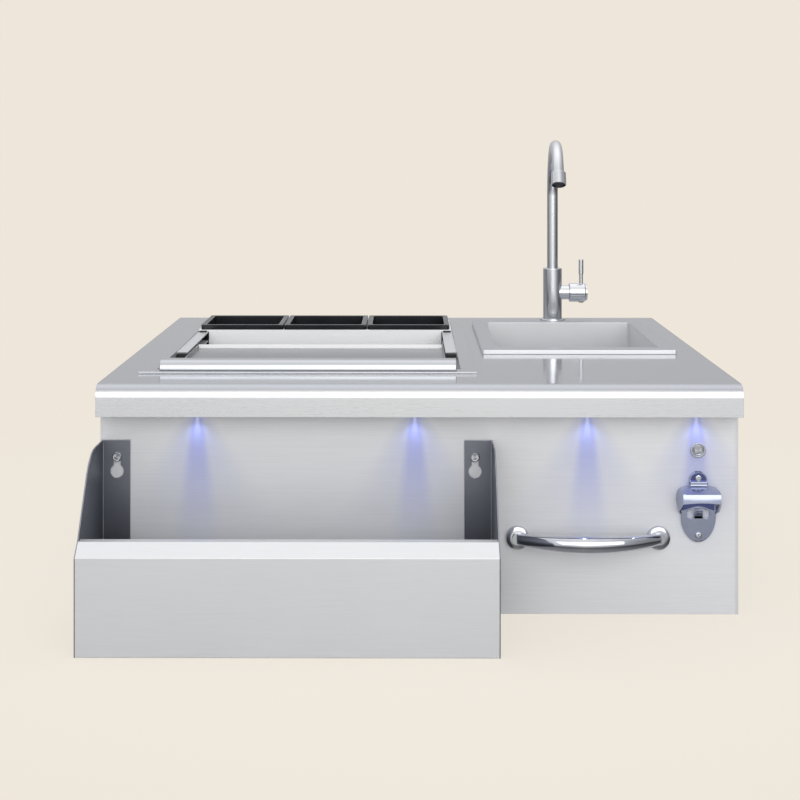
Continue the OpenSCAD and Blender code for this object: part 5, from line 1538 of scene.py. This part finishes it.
@dataclass
class Sink:
    """The drop-in bowl with its raised rim, the waste in its floor and the basket strainer."""

    low: Point = (87.0, -93.25, 278.0)
    high: Point = (348.0, 229.75, 284.0)
    inside_low: tuple[float, float] = (107.0, -66.25)
    inside_high: tuple[float, float] = (328.0, 205.75)
    floor_z: float = 134.0
    wall: float = 1.2
    corner: float = 5.0
    foot: float = 9.0
    drain: tuple[float, float] = (217.5, 69.75)
    hole_radius: float = 44.0

    def bowl(self) -> Bench:
        """Models the bowl: rim plate, drawn bowl, rounded corners, a round hole and a thin raised edge."""
        bowl = Bench.box("sink_bowl_drawn", self.low, self.high)
        inner = [(a + b) / 2 for a, b in zip(self.inside_low, self.inside_high)]
        half = [(b - a) / 2 for a, b in zip(self.inside_low, self.inside_high)]
        with bowl as work:
            for level, sign, grow in ((self.floor_z, 1, 0.0), (self.floor_z - self.wall, -1, self.wall)):
                start = self.high[2] if sign > 0 else self.low[2]
                work.faces(lambda c, n, sign=sign: n.z * sign > 0.9)
                work.inset(15.0)
                chosen = [v.co / MM for v in bmesh.from_edit_mesh(bowl.piece.data).verts if v.select]
                for axis in (0, 1):
                    now = [p[axis] for p in chosen]
                    shift = [0.0, 0.0, 0.0]
                    shift[axis] = inner[axis] - (max(now) + min(now)) / 2
                    scale = [1.0, 1.0, 1.0]
                    scale[axis] = (half[axis] + grow) / ((max(now) - min(now)) / 2)
                    work.move(tuple(shift))
                    work.resize(tuple(scale), (inner[0], inner[1], start))
                work.extrude((0, 0, level - start))
                work.edges(lambda a, b, s=start, g=grow: abs(a.z - b.z) > 80
                           and near(abs(a.x - inner[0]), half[0] + g, 0.5) and near(max(a.z, b.z), s))
                work.bevel(self.corner + grow, 6)
                work.edges(lambda a, b, level=level: near(a.z, level) and near(b.z, level))
                work.bevel(self.foot + grow, 5)
            work.edges(lambda a, b: near(a.z, self.low[2]) != near(b.z, self.low[2]) and max(a.z, b.z) > 283
                       and min(a.z, b.z) > 277)
            work.bevel(2.5, 4)
            work.heal()
        x, y = self.drain
        bowl.carve(Bench.rod("hole", self.hole_radius, 12.0, (x, y, self.floor_z - 6), Axis.Z, 64))
        return bowl.round_edges(0.7, 3, 50)

    def flange(self) -> Bench:
        """Models the waste: a dished flange, a step down into the cup, and the cup's floor."""
        x, y = self.drain
        cup = Bench.disc("sink_waste_flange", 55.0, (x, y, self.floor_z + 0.1), Axis.Z, 64)
        with cup as work:
            bpy.ops.mesh.select_all(action="SELECT")
            work.extrude((0, 0, 1.2))
            for by, down in ((4.0, -0.1), (6.5, -1.8), (2.2, -2.4), (1.2, -8.0), (0.6, -22.0)):
                work.inset(by)
                work.move((0, 0, down))
            work.inset(3.0)
            work.move((0, 0, -4.0))
            work.inset(18.0)
            work.extrude((0, 0, -8.0))
            work.heal()
        return cup

    def strainer(self) -> Bench:
        """Models the basket: a rolled rim, sloping sides, a floor with a ring of holes and the lifting knob."""
        x, y = self.drain
        basket = Bench.disc("sink_strainer_basket", 38.4, (x, y, 135.2), Axis.Z, 64)
        with basket as work:
            bpy.ops.mesh.select_all(action="SELECT")
            work.extrude((0, 0, 0.9))
            for by, down in ((1.4, 0.1), (1.2, -0.7), (0.8, -9.0), (2.0, -14.0), (3.0, -4.0)):
                work.inset(by)
                work.move((0, 0, down))
            work.inset(21.0)
            work.move((0, 0, 1.2))
            work.inset(2.0)
            work.extrude((0, 0, 24.0))
            work.resize((0.72, 0.72, 1), (x, y, 0))
            work.extrude((0, 0, 1.2))
            work.resize((2.0, 2.0, 1), (x, y, 0))
            work.extrude((0, 0, 4.0))
            work.inset(1.2, 1.0)
            work.heal()
        for step in range(12):
            angle = math.radians(30 * step + 15)
            at = (x + 22.0 * math.cos(angle), y + 22.0 * math.sin(angle), 100.0)
            basket.carve(Bench.rod("hole", 2.6, 16.0, at, Axis.Z, 16))
        return basket

    def build(self, finishes: Finishes) -> None:
        """Builds and dresses the bowl, its waste and the strainer."""
        dress(self.bowl().done(40), finishes["sink"], "case", "sink_bowl", "sink_bowl")
        dress(self.flange().done(30), finishes["buffed"], "case", "sink_drain_cup", "sink_drain_cup")
        dress(self.strainer().done(30), finishes["buffed"], "strainer", "sink_strainer", "sink_strainer")


@dataclass
class Trays:
    """The three condiment trays. The left one is modelled and the others are copies of it."""

    centres: tuple[float, ...] = (-261.75, -137.0, -12.25)
    half_x: float = 61.6
    front_y: float = 139.45
    back_y: float = 259.25
    rim_low: float = 281.3
    rim_top: float = 288.2

    def tray(self) -> Bench:
        """Models the left tray: tub and rounded rim."""
        x = self.centres[0]
        tub = Tub((x - self.half_x, self.front_y, self.rim_low), (x + self.half_x, self.back_y, self.rim_top),
                  7.5, 2.0, 225.4, 5.0, 4.0, 0.97, 5.0).build("tray_left_moulded")
        with tub as work:
            work.edges(lambda a, b: near(a.z, self.rim_top) and near(b.z, self.rim_top))
            work.bevel(2.2, 4)
            work.heal()
        return tub

    def build(self, finishes: Finishes) -> None:
        """Builds the first tray and copies it twice."""
        first = self.tray()
        names = ("tray_left", "tray_middle", "tray_right")
        twins = [first] + [first.copy(f"{name}_moulded", (x - self.centres[0], 0, 0))
                           for name, x in zip(names[1:], self.centres[1:])]
        for tub, name, body in zip(twins, names, ("left_tray", "middle_tray", "right_tray")):
            dress(tub.done(40), finishes["tray"], body, name, name)


# Tap
@dataclass
class Tap:
    """The single lever tap: base flange, body with a side arm, gooseneck spout, aerator and lever."""

    x: float = 218.0
    y: float = 286.75
    body_radius: float = 14.85
    drum_length: float = 25.6
    body_top: float = 361.0
    arm_radius: float = 11.15
    arm_z: float = 322.0
    spout_radius: float = 8.55
    bend_radius: float = 80.0
    bend_z: float = 476.45
    bend: float = 153.0
    swing: float = 2.2
    sides: int = 64

    def turned(self, name: str, start: float, profile: Sequence[tuple[float, float]], body: str = "") -> Bench:
        """Models a turned piece along the tap's own axis.

        Args:
            name: the piece's name.
            start: the height of its foot.
            profile: radius and rise of each ring above the last one.
            body: not used.

        Returns:
            The bench that holds it.
        """
        piece = Bench.disc(name, profile[0][0], (self.x, self.y, start), Axis.Z, self.sides)
        with piece as work:
            bpy.ops.mesh.select_all(action="SELECT")
            now = profile[0][0]
            for radius, rise in profile[1:]:
                if rise:
                    work.extrude((0, 0, rise))
                    work.resize((radius / now, radius / now, 1), (self.x, self.y, 0))
                else:
                    work.inset(now - radius)
                now = radius
            work.heal()
        return piece

    def flange(self) -> Bench:
        """Models the base ring with its rounded shoulder."""
        return self.turned("tap_base_ring", 278.05, ((19.4, 0), (20.0, 0.5), (20.0, 1.2), (19.7, 0.7), (18.9, 0.4),
                                                     (17.6, 0.12), (14.9, 0)))

    def body(self) -> Bench:
        """Models the body: a turned column with a soft shoulder, a groove round the spout and the side arm."""
        r = self.body_radius
        column = self.turned("tap_body_column", 281.0, ((r - 0.3, 0), (r, 0.4), (r, 78.4), (r - 0.25, 0.7),
                                                        (r - 0.9, 0.45), (9.1, 0), (9.0, -3.0)))
        arm = Bench.rod("arm", self.arm_radius, 24.8, (self.x + 5.0, self.y, self.arm_z), Axis.X, self.sides)
        with arm as work:
            work.faces(lambda c, n: n.x > 0.9)
            work.inset(0.4, 0.25)
        return column.join(arm)

    def spout(self) -> Bench:
        """Models the gooseneck: a ring drawn straight up, then spun over and down."""
        tube = Bench.disc("tap_spout_gooseneck", self.spout_radius, (self.x, self.y, 338.1), Axis.Z, 40)
        centre = (self.x, self.y - self.bend_radius, self.bend_z)
        with tube as work:
            bpy.ops.mesh.select_all(action="SELECT")
            work.extrude((0, 0, self.bend_z - 338.1))
            bpy.ops.mesh.spin(steps=40, angle=math.radians(self.bend), center=Vector(centre) * MM, axis=(-1, 0, 0))
            work.heal()
            bpy.ops.mesh.select_all(action="SELECT")
            work.turn(-self.swing, Axis.Z, (self.x, self.y, 0))
        return tube

    def aerator(self) -> tuple[Bench, Bench]:
        """Models the aerator's sleeve and the screen in its mouth, and turns both to the spout's end."""
        hub_y = self.y - 2 * self.bend_radius
        centre = (self.x, self.y - self.bend_radius, self.bend_z)
        top = self.bend_z + 3.6
        sleeve = Bench.rod("spout_aerator_sleeve", 11.3, -19.4, (self.x, hub_y, top), Axis.Z, 64)
        mouth = top - 19.4
        with sleeve as work:
            work.edges(lambda a, b: near(a.z, b.z) and a.z > self.bend_z)
            work.bevel(1.2, 3)
            work.faces(lambda c, n: n.z < -0.9)
            work.inset(0.5, 0.3)
            work.inset(0.6)
            work.extrude((0, 0, 2.6))
        screen = Bench.disc("spout_aerator_screen", 10.1, (self.x, hub_y, mouth + 1.9), Axis.Z, 64)
        with screen as work:
            bpy.ops.mesh.select_all(action="SELECT")
            for down in (-0.35, 0.35, -0.35, 0.35, -0.35, 0.35):
                work.inset(1.4)
                work.move((0, 0, down))
            work.faces(lambda c, n: True)
            bpy.ops.mesh.flip_normals()
        for piece in (sleeve, screen):
            with piece as work:
                bpy.ops.mesh.select_all(action="SELECT")
                work.turn(self.bend - 180.0, Axis.X, centre)
                work.turn(-self.swing, Axis.Z, (self.x, self.y, 0))
        return sleeve, screen

    def hub(self) -> Bench:
        """Models the lever's hub: a short drum with a relieved back edge and a domed front."""
        drum = Bench.rod("tap_lever_drum", self.body_radius, self.drum_length, (self.x + 26.6, self.y, self.arm_z), Axis.X, self.sides)
        end = self.x + 26.6 + self.drum_length
        with drum as work:
            work.edges(lambda a, b: near(a.x, b.x) and a.x > end - 0.1)
            work.bevel(2.4, 6)
            work.faces(lambda c, n: n.x > 0.95 and c.x > end - 0.2)
            work.inset(3.0)
            work.inset(3.0)
            work.edges(lambda a, b: near(a.x, b.x) and a.x < self.x + 27.0)
            work.bevel(0.8, 3)
            work.faces(lambda c, n: n.x < -0.9)
            work.inset(2.6)
            work.extrude((2.6, 0, 0))
        return drum

    def rod(self) -> Bench:
        """Models the lever's rod: a thin neck and a thicker grip with a rounded tip."""
        x = self.x + 45.6
        rod = Bench.rod("tap_lever_grip", 3.0, 18.9, (x, self.y, 331.9), Axis.Z, 32)
        with rod as work:
            work.faces(lambda c, n: n.z > 0.9)
            for radius, rise in ((3.8, 0.5), (3.8, 22.6), (3.6, 0.45), (3.2, 0.25), (1.8, 0.1)):
                work.extrude((0, 0, rise))
                chosen = [v.co / MM for v in bmesh.from_edit_mesh(rod.piece.data).verts if v.select]
                now = max(abs(p.x - x) for p in chosen)
                work.resize((radius / now, radius / now, 1), (x, self.y, 0))
            work.faces(lambda c, n: n.z < -0.9)
            work.inset(0.5, 0.0)
        return rod

    def set_screw(self) -> Bench:
        """Models the small socket screw under the hub, from its CAD box."""
        low, high = corners("tap_set_screw")
        middle = (low + high) / 2
        radius = (high.x - low.x) / 2 - 0.02
        screw = Bench.rod("tap_hub_set_screw", radius, high.z - low.z - 0.1, (middle.x, middle.y, low.z + 0.05), Axis.Z, 32)
        with screw as work:
            work.edges(lambda a, b: near(a.z, b.z) and a.z < low.z + 0.2)
            work.bevel(radius * 0.25, 3)
        screw.carve(Bench.rod("socket", radius * 0.5, 2.4, (middle.x, middle.y, low.z - 1.0), Axis.Z, 6))
        return screw

    def build(self, finishes: Finishes) -> None:
        """Builds and dresses the tap."""
        satin = finishes["tap"]
        dress(self.flange().done(), satin, "case", "tap_base_flange", "tap_base_flange")
        dress(self.body().done(40), satin, "case", "tap_body", "tap_body")
        dress(self.spout().done(40), satin, "spout", "tap_spout", "tap_spout")
        sleeve, screen = self.aerator()
        dress(sleeve.done(40), satin, "spout", "spout_aerator", "spout_aerator")
        dress(screen.done(10), finishes["black"], "spout", "spout_aerator")
        dress(self.hub().done(40), satin, "lever", "tap_lever_hub", "tap_lever_hub")
        dress(self.rod().done(40), satin, "lever", "tap_lever_rod", "tap_lever_rod")
        dress(self.set_screw().done(40), finishes["steel"], "lever", "tap_set_screw", "tap_set_screw")


# Studio
@dataclass
class Studio:
    """Floor, backdrop, lamps and the camera at the photograph's place."""

    camera_at: Point = (-14.7, -2099.65, 568.7)
    focal_px: float = 1493.6
    horizon_px: float = 137.88
    frame_px: float = 800.0
    yaw: float = -0.0045
    floor: str = "EEE6DA"
    shadow: float = 0.18
    room_light: float = 1.8
    sky: tuple[tuple[float, float], ...] = (
        (-180, 0.3), (-120, 0.2), (-90, 0.18), (-60, 0.2), (-44, 0.14), (-28, 0.08), (-17, 0.32), (-6, 0.7),
        (12, 0.7), (25, 0.7), (45, 0.7), (65, 0.66), (81, 0.7), (105, 0.92), (130, 0.7), (156, 0.4), (180, 0.3))
    walls: tuple[tuple[float, float], ...] = ((-1.0, 0.5), (-0.6, 0.82), (-0.2, 1.0), (0.2, 1.0), (0.5, 0.72),
                                              (0.8, 0.34), (1.0, 0.28))
    window: tuple[tuple[float, float], ...] = ((-1.0, 0.9), (-0.5, 0.95), (-0.2, 0.74), (0.0, 1.12), (0.2, 0.82),
                                               (0.5, 0.9), (1.0, 0.8))

    def camera(self) -> None:
        """Places a level camera. Its shift brings the horizon to where the photograph has it."""
        data = bpy.data.cameras.new("camera")
        data.sensor_width = 36.0
        data.lens = 36.0 * self.focal_px / self.frame_px
        data.shift_y = -(self.frame_px / 2 - self.horizon_px) / self.frame_px
        data.clip_end = 50.0
        eye = bpy.data.objects.new("camera", data)
        eye.location = Vector(self.camera_at) * MM
        eye.rotation_euler = (math.pi / 2, 0.0, -self.yaw)
        bpy.context.collection.objects.link(eye)
        bpy.context.scene.camera = eye

    def backdrop(self) -> None:
        """Lays a pale floor, which the camera sees as a flat colour that keeps a little of the object's shadow near it.
        """
        sweep = Bench.box("studio_floor", (-5000, -6000, -40), (5000, 5000, -0.1))
        sweep.piece.visible_glossy = False
        made, tree, surface, place = Finish("painted_board_floor").start()
        cloud = node(tree, "ShaderNodeTexNoise", {"Vector": place, "Scale": 3.0, "Detail": 2.0})
        pale = Finish.blend(tree, cloud.outputs["Fac"], linear("ECE9E4"), linear("EEEBE6"))
        tree.links.new(pale, surface.inputs["Base Color"])
        surface.inputs["Roughness"].default_value = 0.85
        glow = node(tree, "ShaderNodeEmission", {"Color": linear(self.floor), "Strength": 1.0})
        path = node(tree, "ShaderNodeLightPath")
        far = node(tree, "ShaderNodeVectorMath", {0: place}, operation="LENGTH")
        fade = node(tree, "ShaderNodeMapRange", {"Value": far.outputs["Value"], "From Min": 0.45, "From Max": 1.1,
                                                 "To Min": self.shadow, "To Max": 0.0}, interpolation_type="SMOOTHSTEP")
        lit = node(tree, "ShaderNodeMath", {0: path.outputs["Is Camera Ray"], 1: fade.outputs["Result"]},
                   operation="SUBTRACT", use_clamp=True)
        mix = node(tree, "ShaderNodeMixShader", {0: lit.outputs["Value"], 1: surface.outputs["BSDF"],
                                                 2: glow.outputs["Emission"]})
        end = next(n for n in tree.nodes if n.type == "OUTPUT_MATERIAL")
        tree.links.new(mix.outputs["Shader"], end.inputs["Surface"])
        sweep.piece.data.materials.append(made)
        sweep.done()

    def world(self) -> None:
        """Lights the room by direction: a tall bright wall in front, softer above and behind, dark below."""
        room = bpy.data.worlds.new("studio")
        room.use_nodes = True
        tree = room.node_tree
        tree.nodes.clear()
        way = node(tree, "ShaderNodeSeparateXYZ", {"Vector": node(tree, "ShaderNodeTexCoord").outputs["Generated"]})
        ahead = node(tree, "ShaderNodeMath", {0: way.outputs["Y"], 1: -1.0}, operation="MULTIPLY")
        angle = node(tree, "ShaderNodeMath", {0: way.outputs["Z"], 1: ahead.outputs["Value"]}, operation="ARCTAN2")
        share = node(tree, "ShaderNodeMapRange", {"Value": angle.outputs["Value"], "From Min": -math.pi,
                                                  "From Max": math.pi})
        high = self.ramp(tree, share.outputs["Result"], [(turn / 360 + 0.5, level) for turn, level in self.sky])
        aside = node(tree, "ShaderNodeMapRange", {"Value": way.outputs["X"], "From Min": -1.0, "From Max": 1.0})
        wide = self.ramp(tree, aside.outputs["Result"], [(x / 2 + 0.5, level) for x, level in self.walls])
        both = node(tree, "ShaderNodeMix", {0: 1.0, 6: high, 7: wide}, data_type="RGBA", blend_type="MULTIPLY")
        lean = node(tree, "ShaderNodeMapRange", {"Value": ahead.outputs["Value"], "From Min": 0.1, "From Max": 0.6})
        narrow = self.ramp(tree, aside.outputs["Result"], [(x / 2 + 0.5, level) for x, level in self.window])
        both = node(tree, "ShaderNodeMix", {0: lean.outputs["Result"], 6: both.outputs[2], 7: narrow},
                    data_type="RGBA", blend_type="MULTIPLY")
        light = node(tree, "ShaderNodeBackground", {"Color": both.outputs[2], "Strength": self.room_light})
        seen = node(tree, "ShaderNodeBackground", {"Color": linear(self.floor), "Strength": 1.0})
        path = node(tree, "ShaderNodeLightPath")
        mix = node(tree, "ShaderNodeMixShader", {0: path.outputs["Is Camera Ray"], 1: light.outputs["Background"],
                                                 2: seen.outputs["Background"]})
        node(tree, "ShaderNodeOutputWorld", {"Surface": mix.outputs["Shader"]})
        bpy.context.scene.world = room

    @staticmethod
    def ramp(tree: bpy.types.NodeTree, value: bpy.types.NodeSocket,
             stops: Sequence[tuple[float, float]]) -> bpy.types.NodeSocket:
        """Turns a value into a smooth run of grey levels.

        Args:
            tree: the world's tree.
            value: a value from 0 to 1.
            stops: places on that scale and their levels.

        Returns:
            The level, very slightly blue.
        """
        ramp = node(tree, "ShaderNodeValToRGB", {"Fac": value})
        ramp.color_ramp.interpolation = "B_SPLINE"
        first, last = ramp.color_ramp.elements
        for element, (place, level) in ((first, stops[0]), (last, stops[-1])):
            element.position, element.color = place, (level, level, min(1.0, level * 1.01), 1.0)
        for place, level in stops[1:-1]:
            ramp.color_ramp.elements.new(place).color = (level, level, min(1.0, level * 1.01), 1.0)
        return ramp.outputs["Color"]

    def lamp(self, name: str, at: Point, aim: Point, size: tuple[float, float], watts: float,
             tint: str = "FFFFFF") -> None:
        """Adds one soft box.

        Args:
            name: the lamp's name.
            at: its place in millimetres.
            aim: the point that it faces.
            size: its width and height in millimetres.
            watts: its power.
            tint: its colour.
        """
        data = bpy.data.lights.new(name, "AREA")
        data.shape, data.size, data.size_y = "RECTANGLE", size[0] * MM, size[1] * MM
        data.energy, data.color = watts, linear(tint)[:3]
        box = bpy.data.objects.new(name, data)
        box.location = Vector(at) * MM
        box.rotation_euler = (Vector(aim) - Vector(at)).to_track_quat("-Z", "Y").to_euler()
        bpy.context.collection.objects.link(box)

    def spots(self) -> None:
        """Hangs a small blue white lamp under each lens, which washes the case front."""
        for index, x in enumerate(LAMPS_X, 1):
            data = bpy.data.lights.new(f"lip_light_{index}", "SPOT")
            data.energy, data.color = 0.05, linear("A4B4FF")[:3]
            data.spot_size, data.spot_blend, data.shadow_soft_size = math.radians(100), 0.9, 3 * MM
            lamp = bpy.data.objects.new(f"lip_light_{index}", data)
            lamp.location = Vector((x, LIP_Y + 16.0, DECK_Z - 41.5)) * MM
            lamp.rotation_euler = (math.radians(12), 0.0, 0.0)
            bpy.context.collection.objects.link(lamp)

    def build(self) -> None:
        """Sets up the whole studio."""
        bpy.context.scene.view_settings.view_transform = "Standard"
        self.camera()
        self.backdrop()
        self.world()
        self.lamp("key_box", (500, -3000, 1500), (0, -100, 200), (3800, 2300), 46.0)
        self.spots()


# CAD finishes and assembly
CAD_FINISHES = {
    "deck": ("deck_top",),
    "case": ("front_panel",),
    "side": ("left_side_panel", "right_side_panel", "back_panel", "bottom_panel"),
    "rail": ("bottle_rail",),
    "bin": ("ice_bin_liner", "ice_bin_shell", "left_guide_rail", "right_guide_rail", "caddy_ledge", "sink_clips"),
    "caddy": ("caddy",),
    "buffed": ("rail_studs", "opener_screws", "sink_drain_cup", "sink_strainer", "sink_drain_tail",
               "sink_tail_nut", "light_button"),
    "sink": ("sink_bowl",),
    "tap": ("tap_base_flange", "tap_body", "tap_spout", "spout_aerator", "tap_lever_hub", "tap_lever_rod"),
    "chrome": ("towel_bar", "towel_bar_rosettes", "bottle_opener", "button_bezel"),
    "steel": ("stud_nuts", "towel_bar_screws", "tap_set_screw"),
    "brass": ("button_nut", "tap_spindle", "tap_shank", "tap_nut"),
    "tray": ("tray_left", "tray_middle", "tray_right"),
    "black": ("light_housings", "power_inlet", "lid_runners"),
    "white": ("tap_cartridge", "spout_bush", "sink_drain_nut"),
    "grey": ("ice_drain_fitting", "ice_drain_nut"),
    "rubber": ("caddy_feet", "ice_drain_plug", "sink_drain_gasket", "tap_washer"),
    "foam": ("ice_bin_insulation",),
    "lens": ("light_lenses",),
}


def main() -> None:
    """Builds the studio, the finishes and every piece."""
    logging.basicConfig(level=logging.INFO, format="%(name)s: %(message)s")
    finishes = Finishes()
    finishes.build()
    Studio().build()
    for key, names in CAD_FINISHES.items():
        for name in names:
            cover(name, finishes[key])
    for group in (TowelBar(), LightButton(), RailStuds(), BottleOpener(), BottleRail(), IceLid(), BinFlange(), Sink(), Trays(), TrayRims(), Tap()):
        group.build(finishes)


if __name__ == "__main__":
    main()
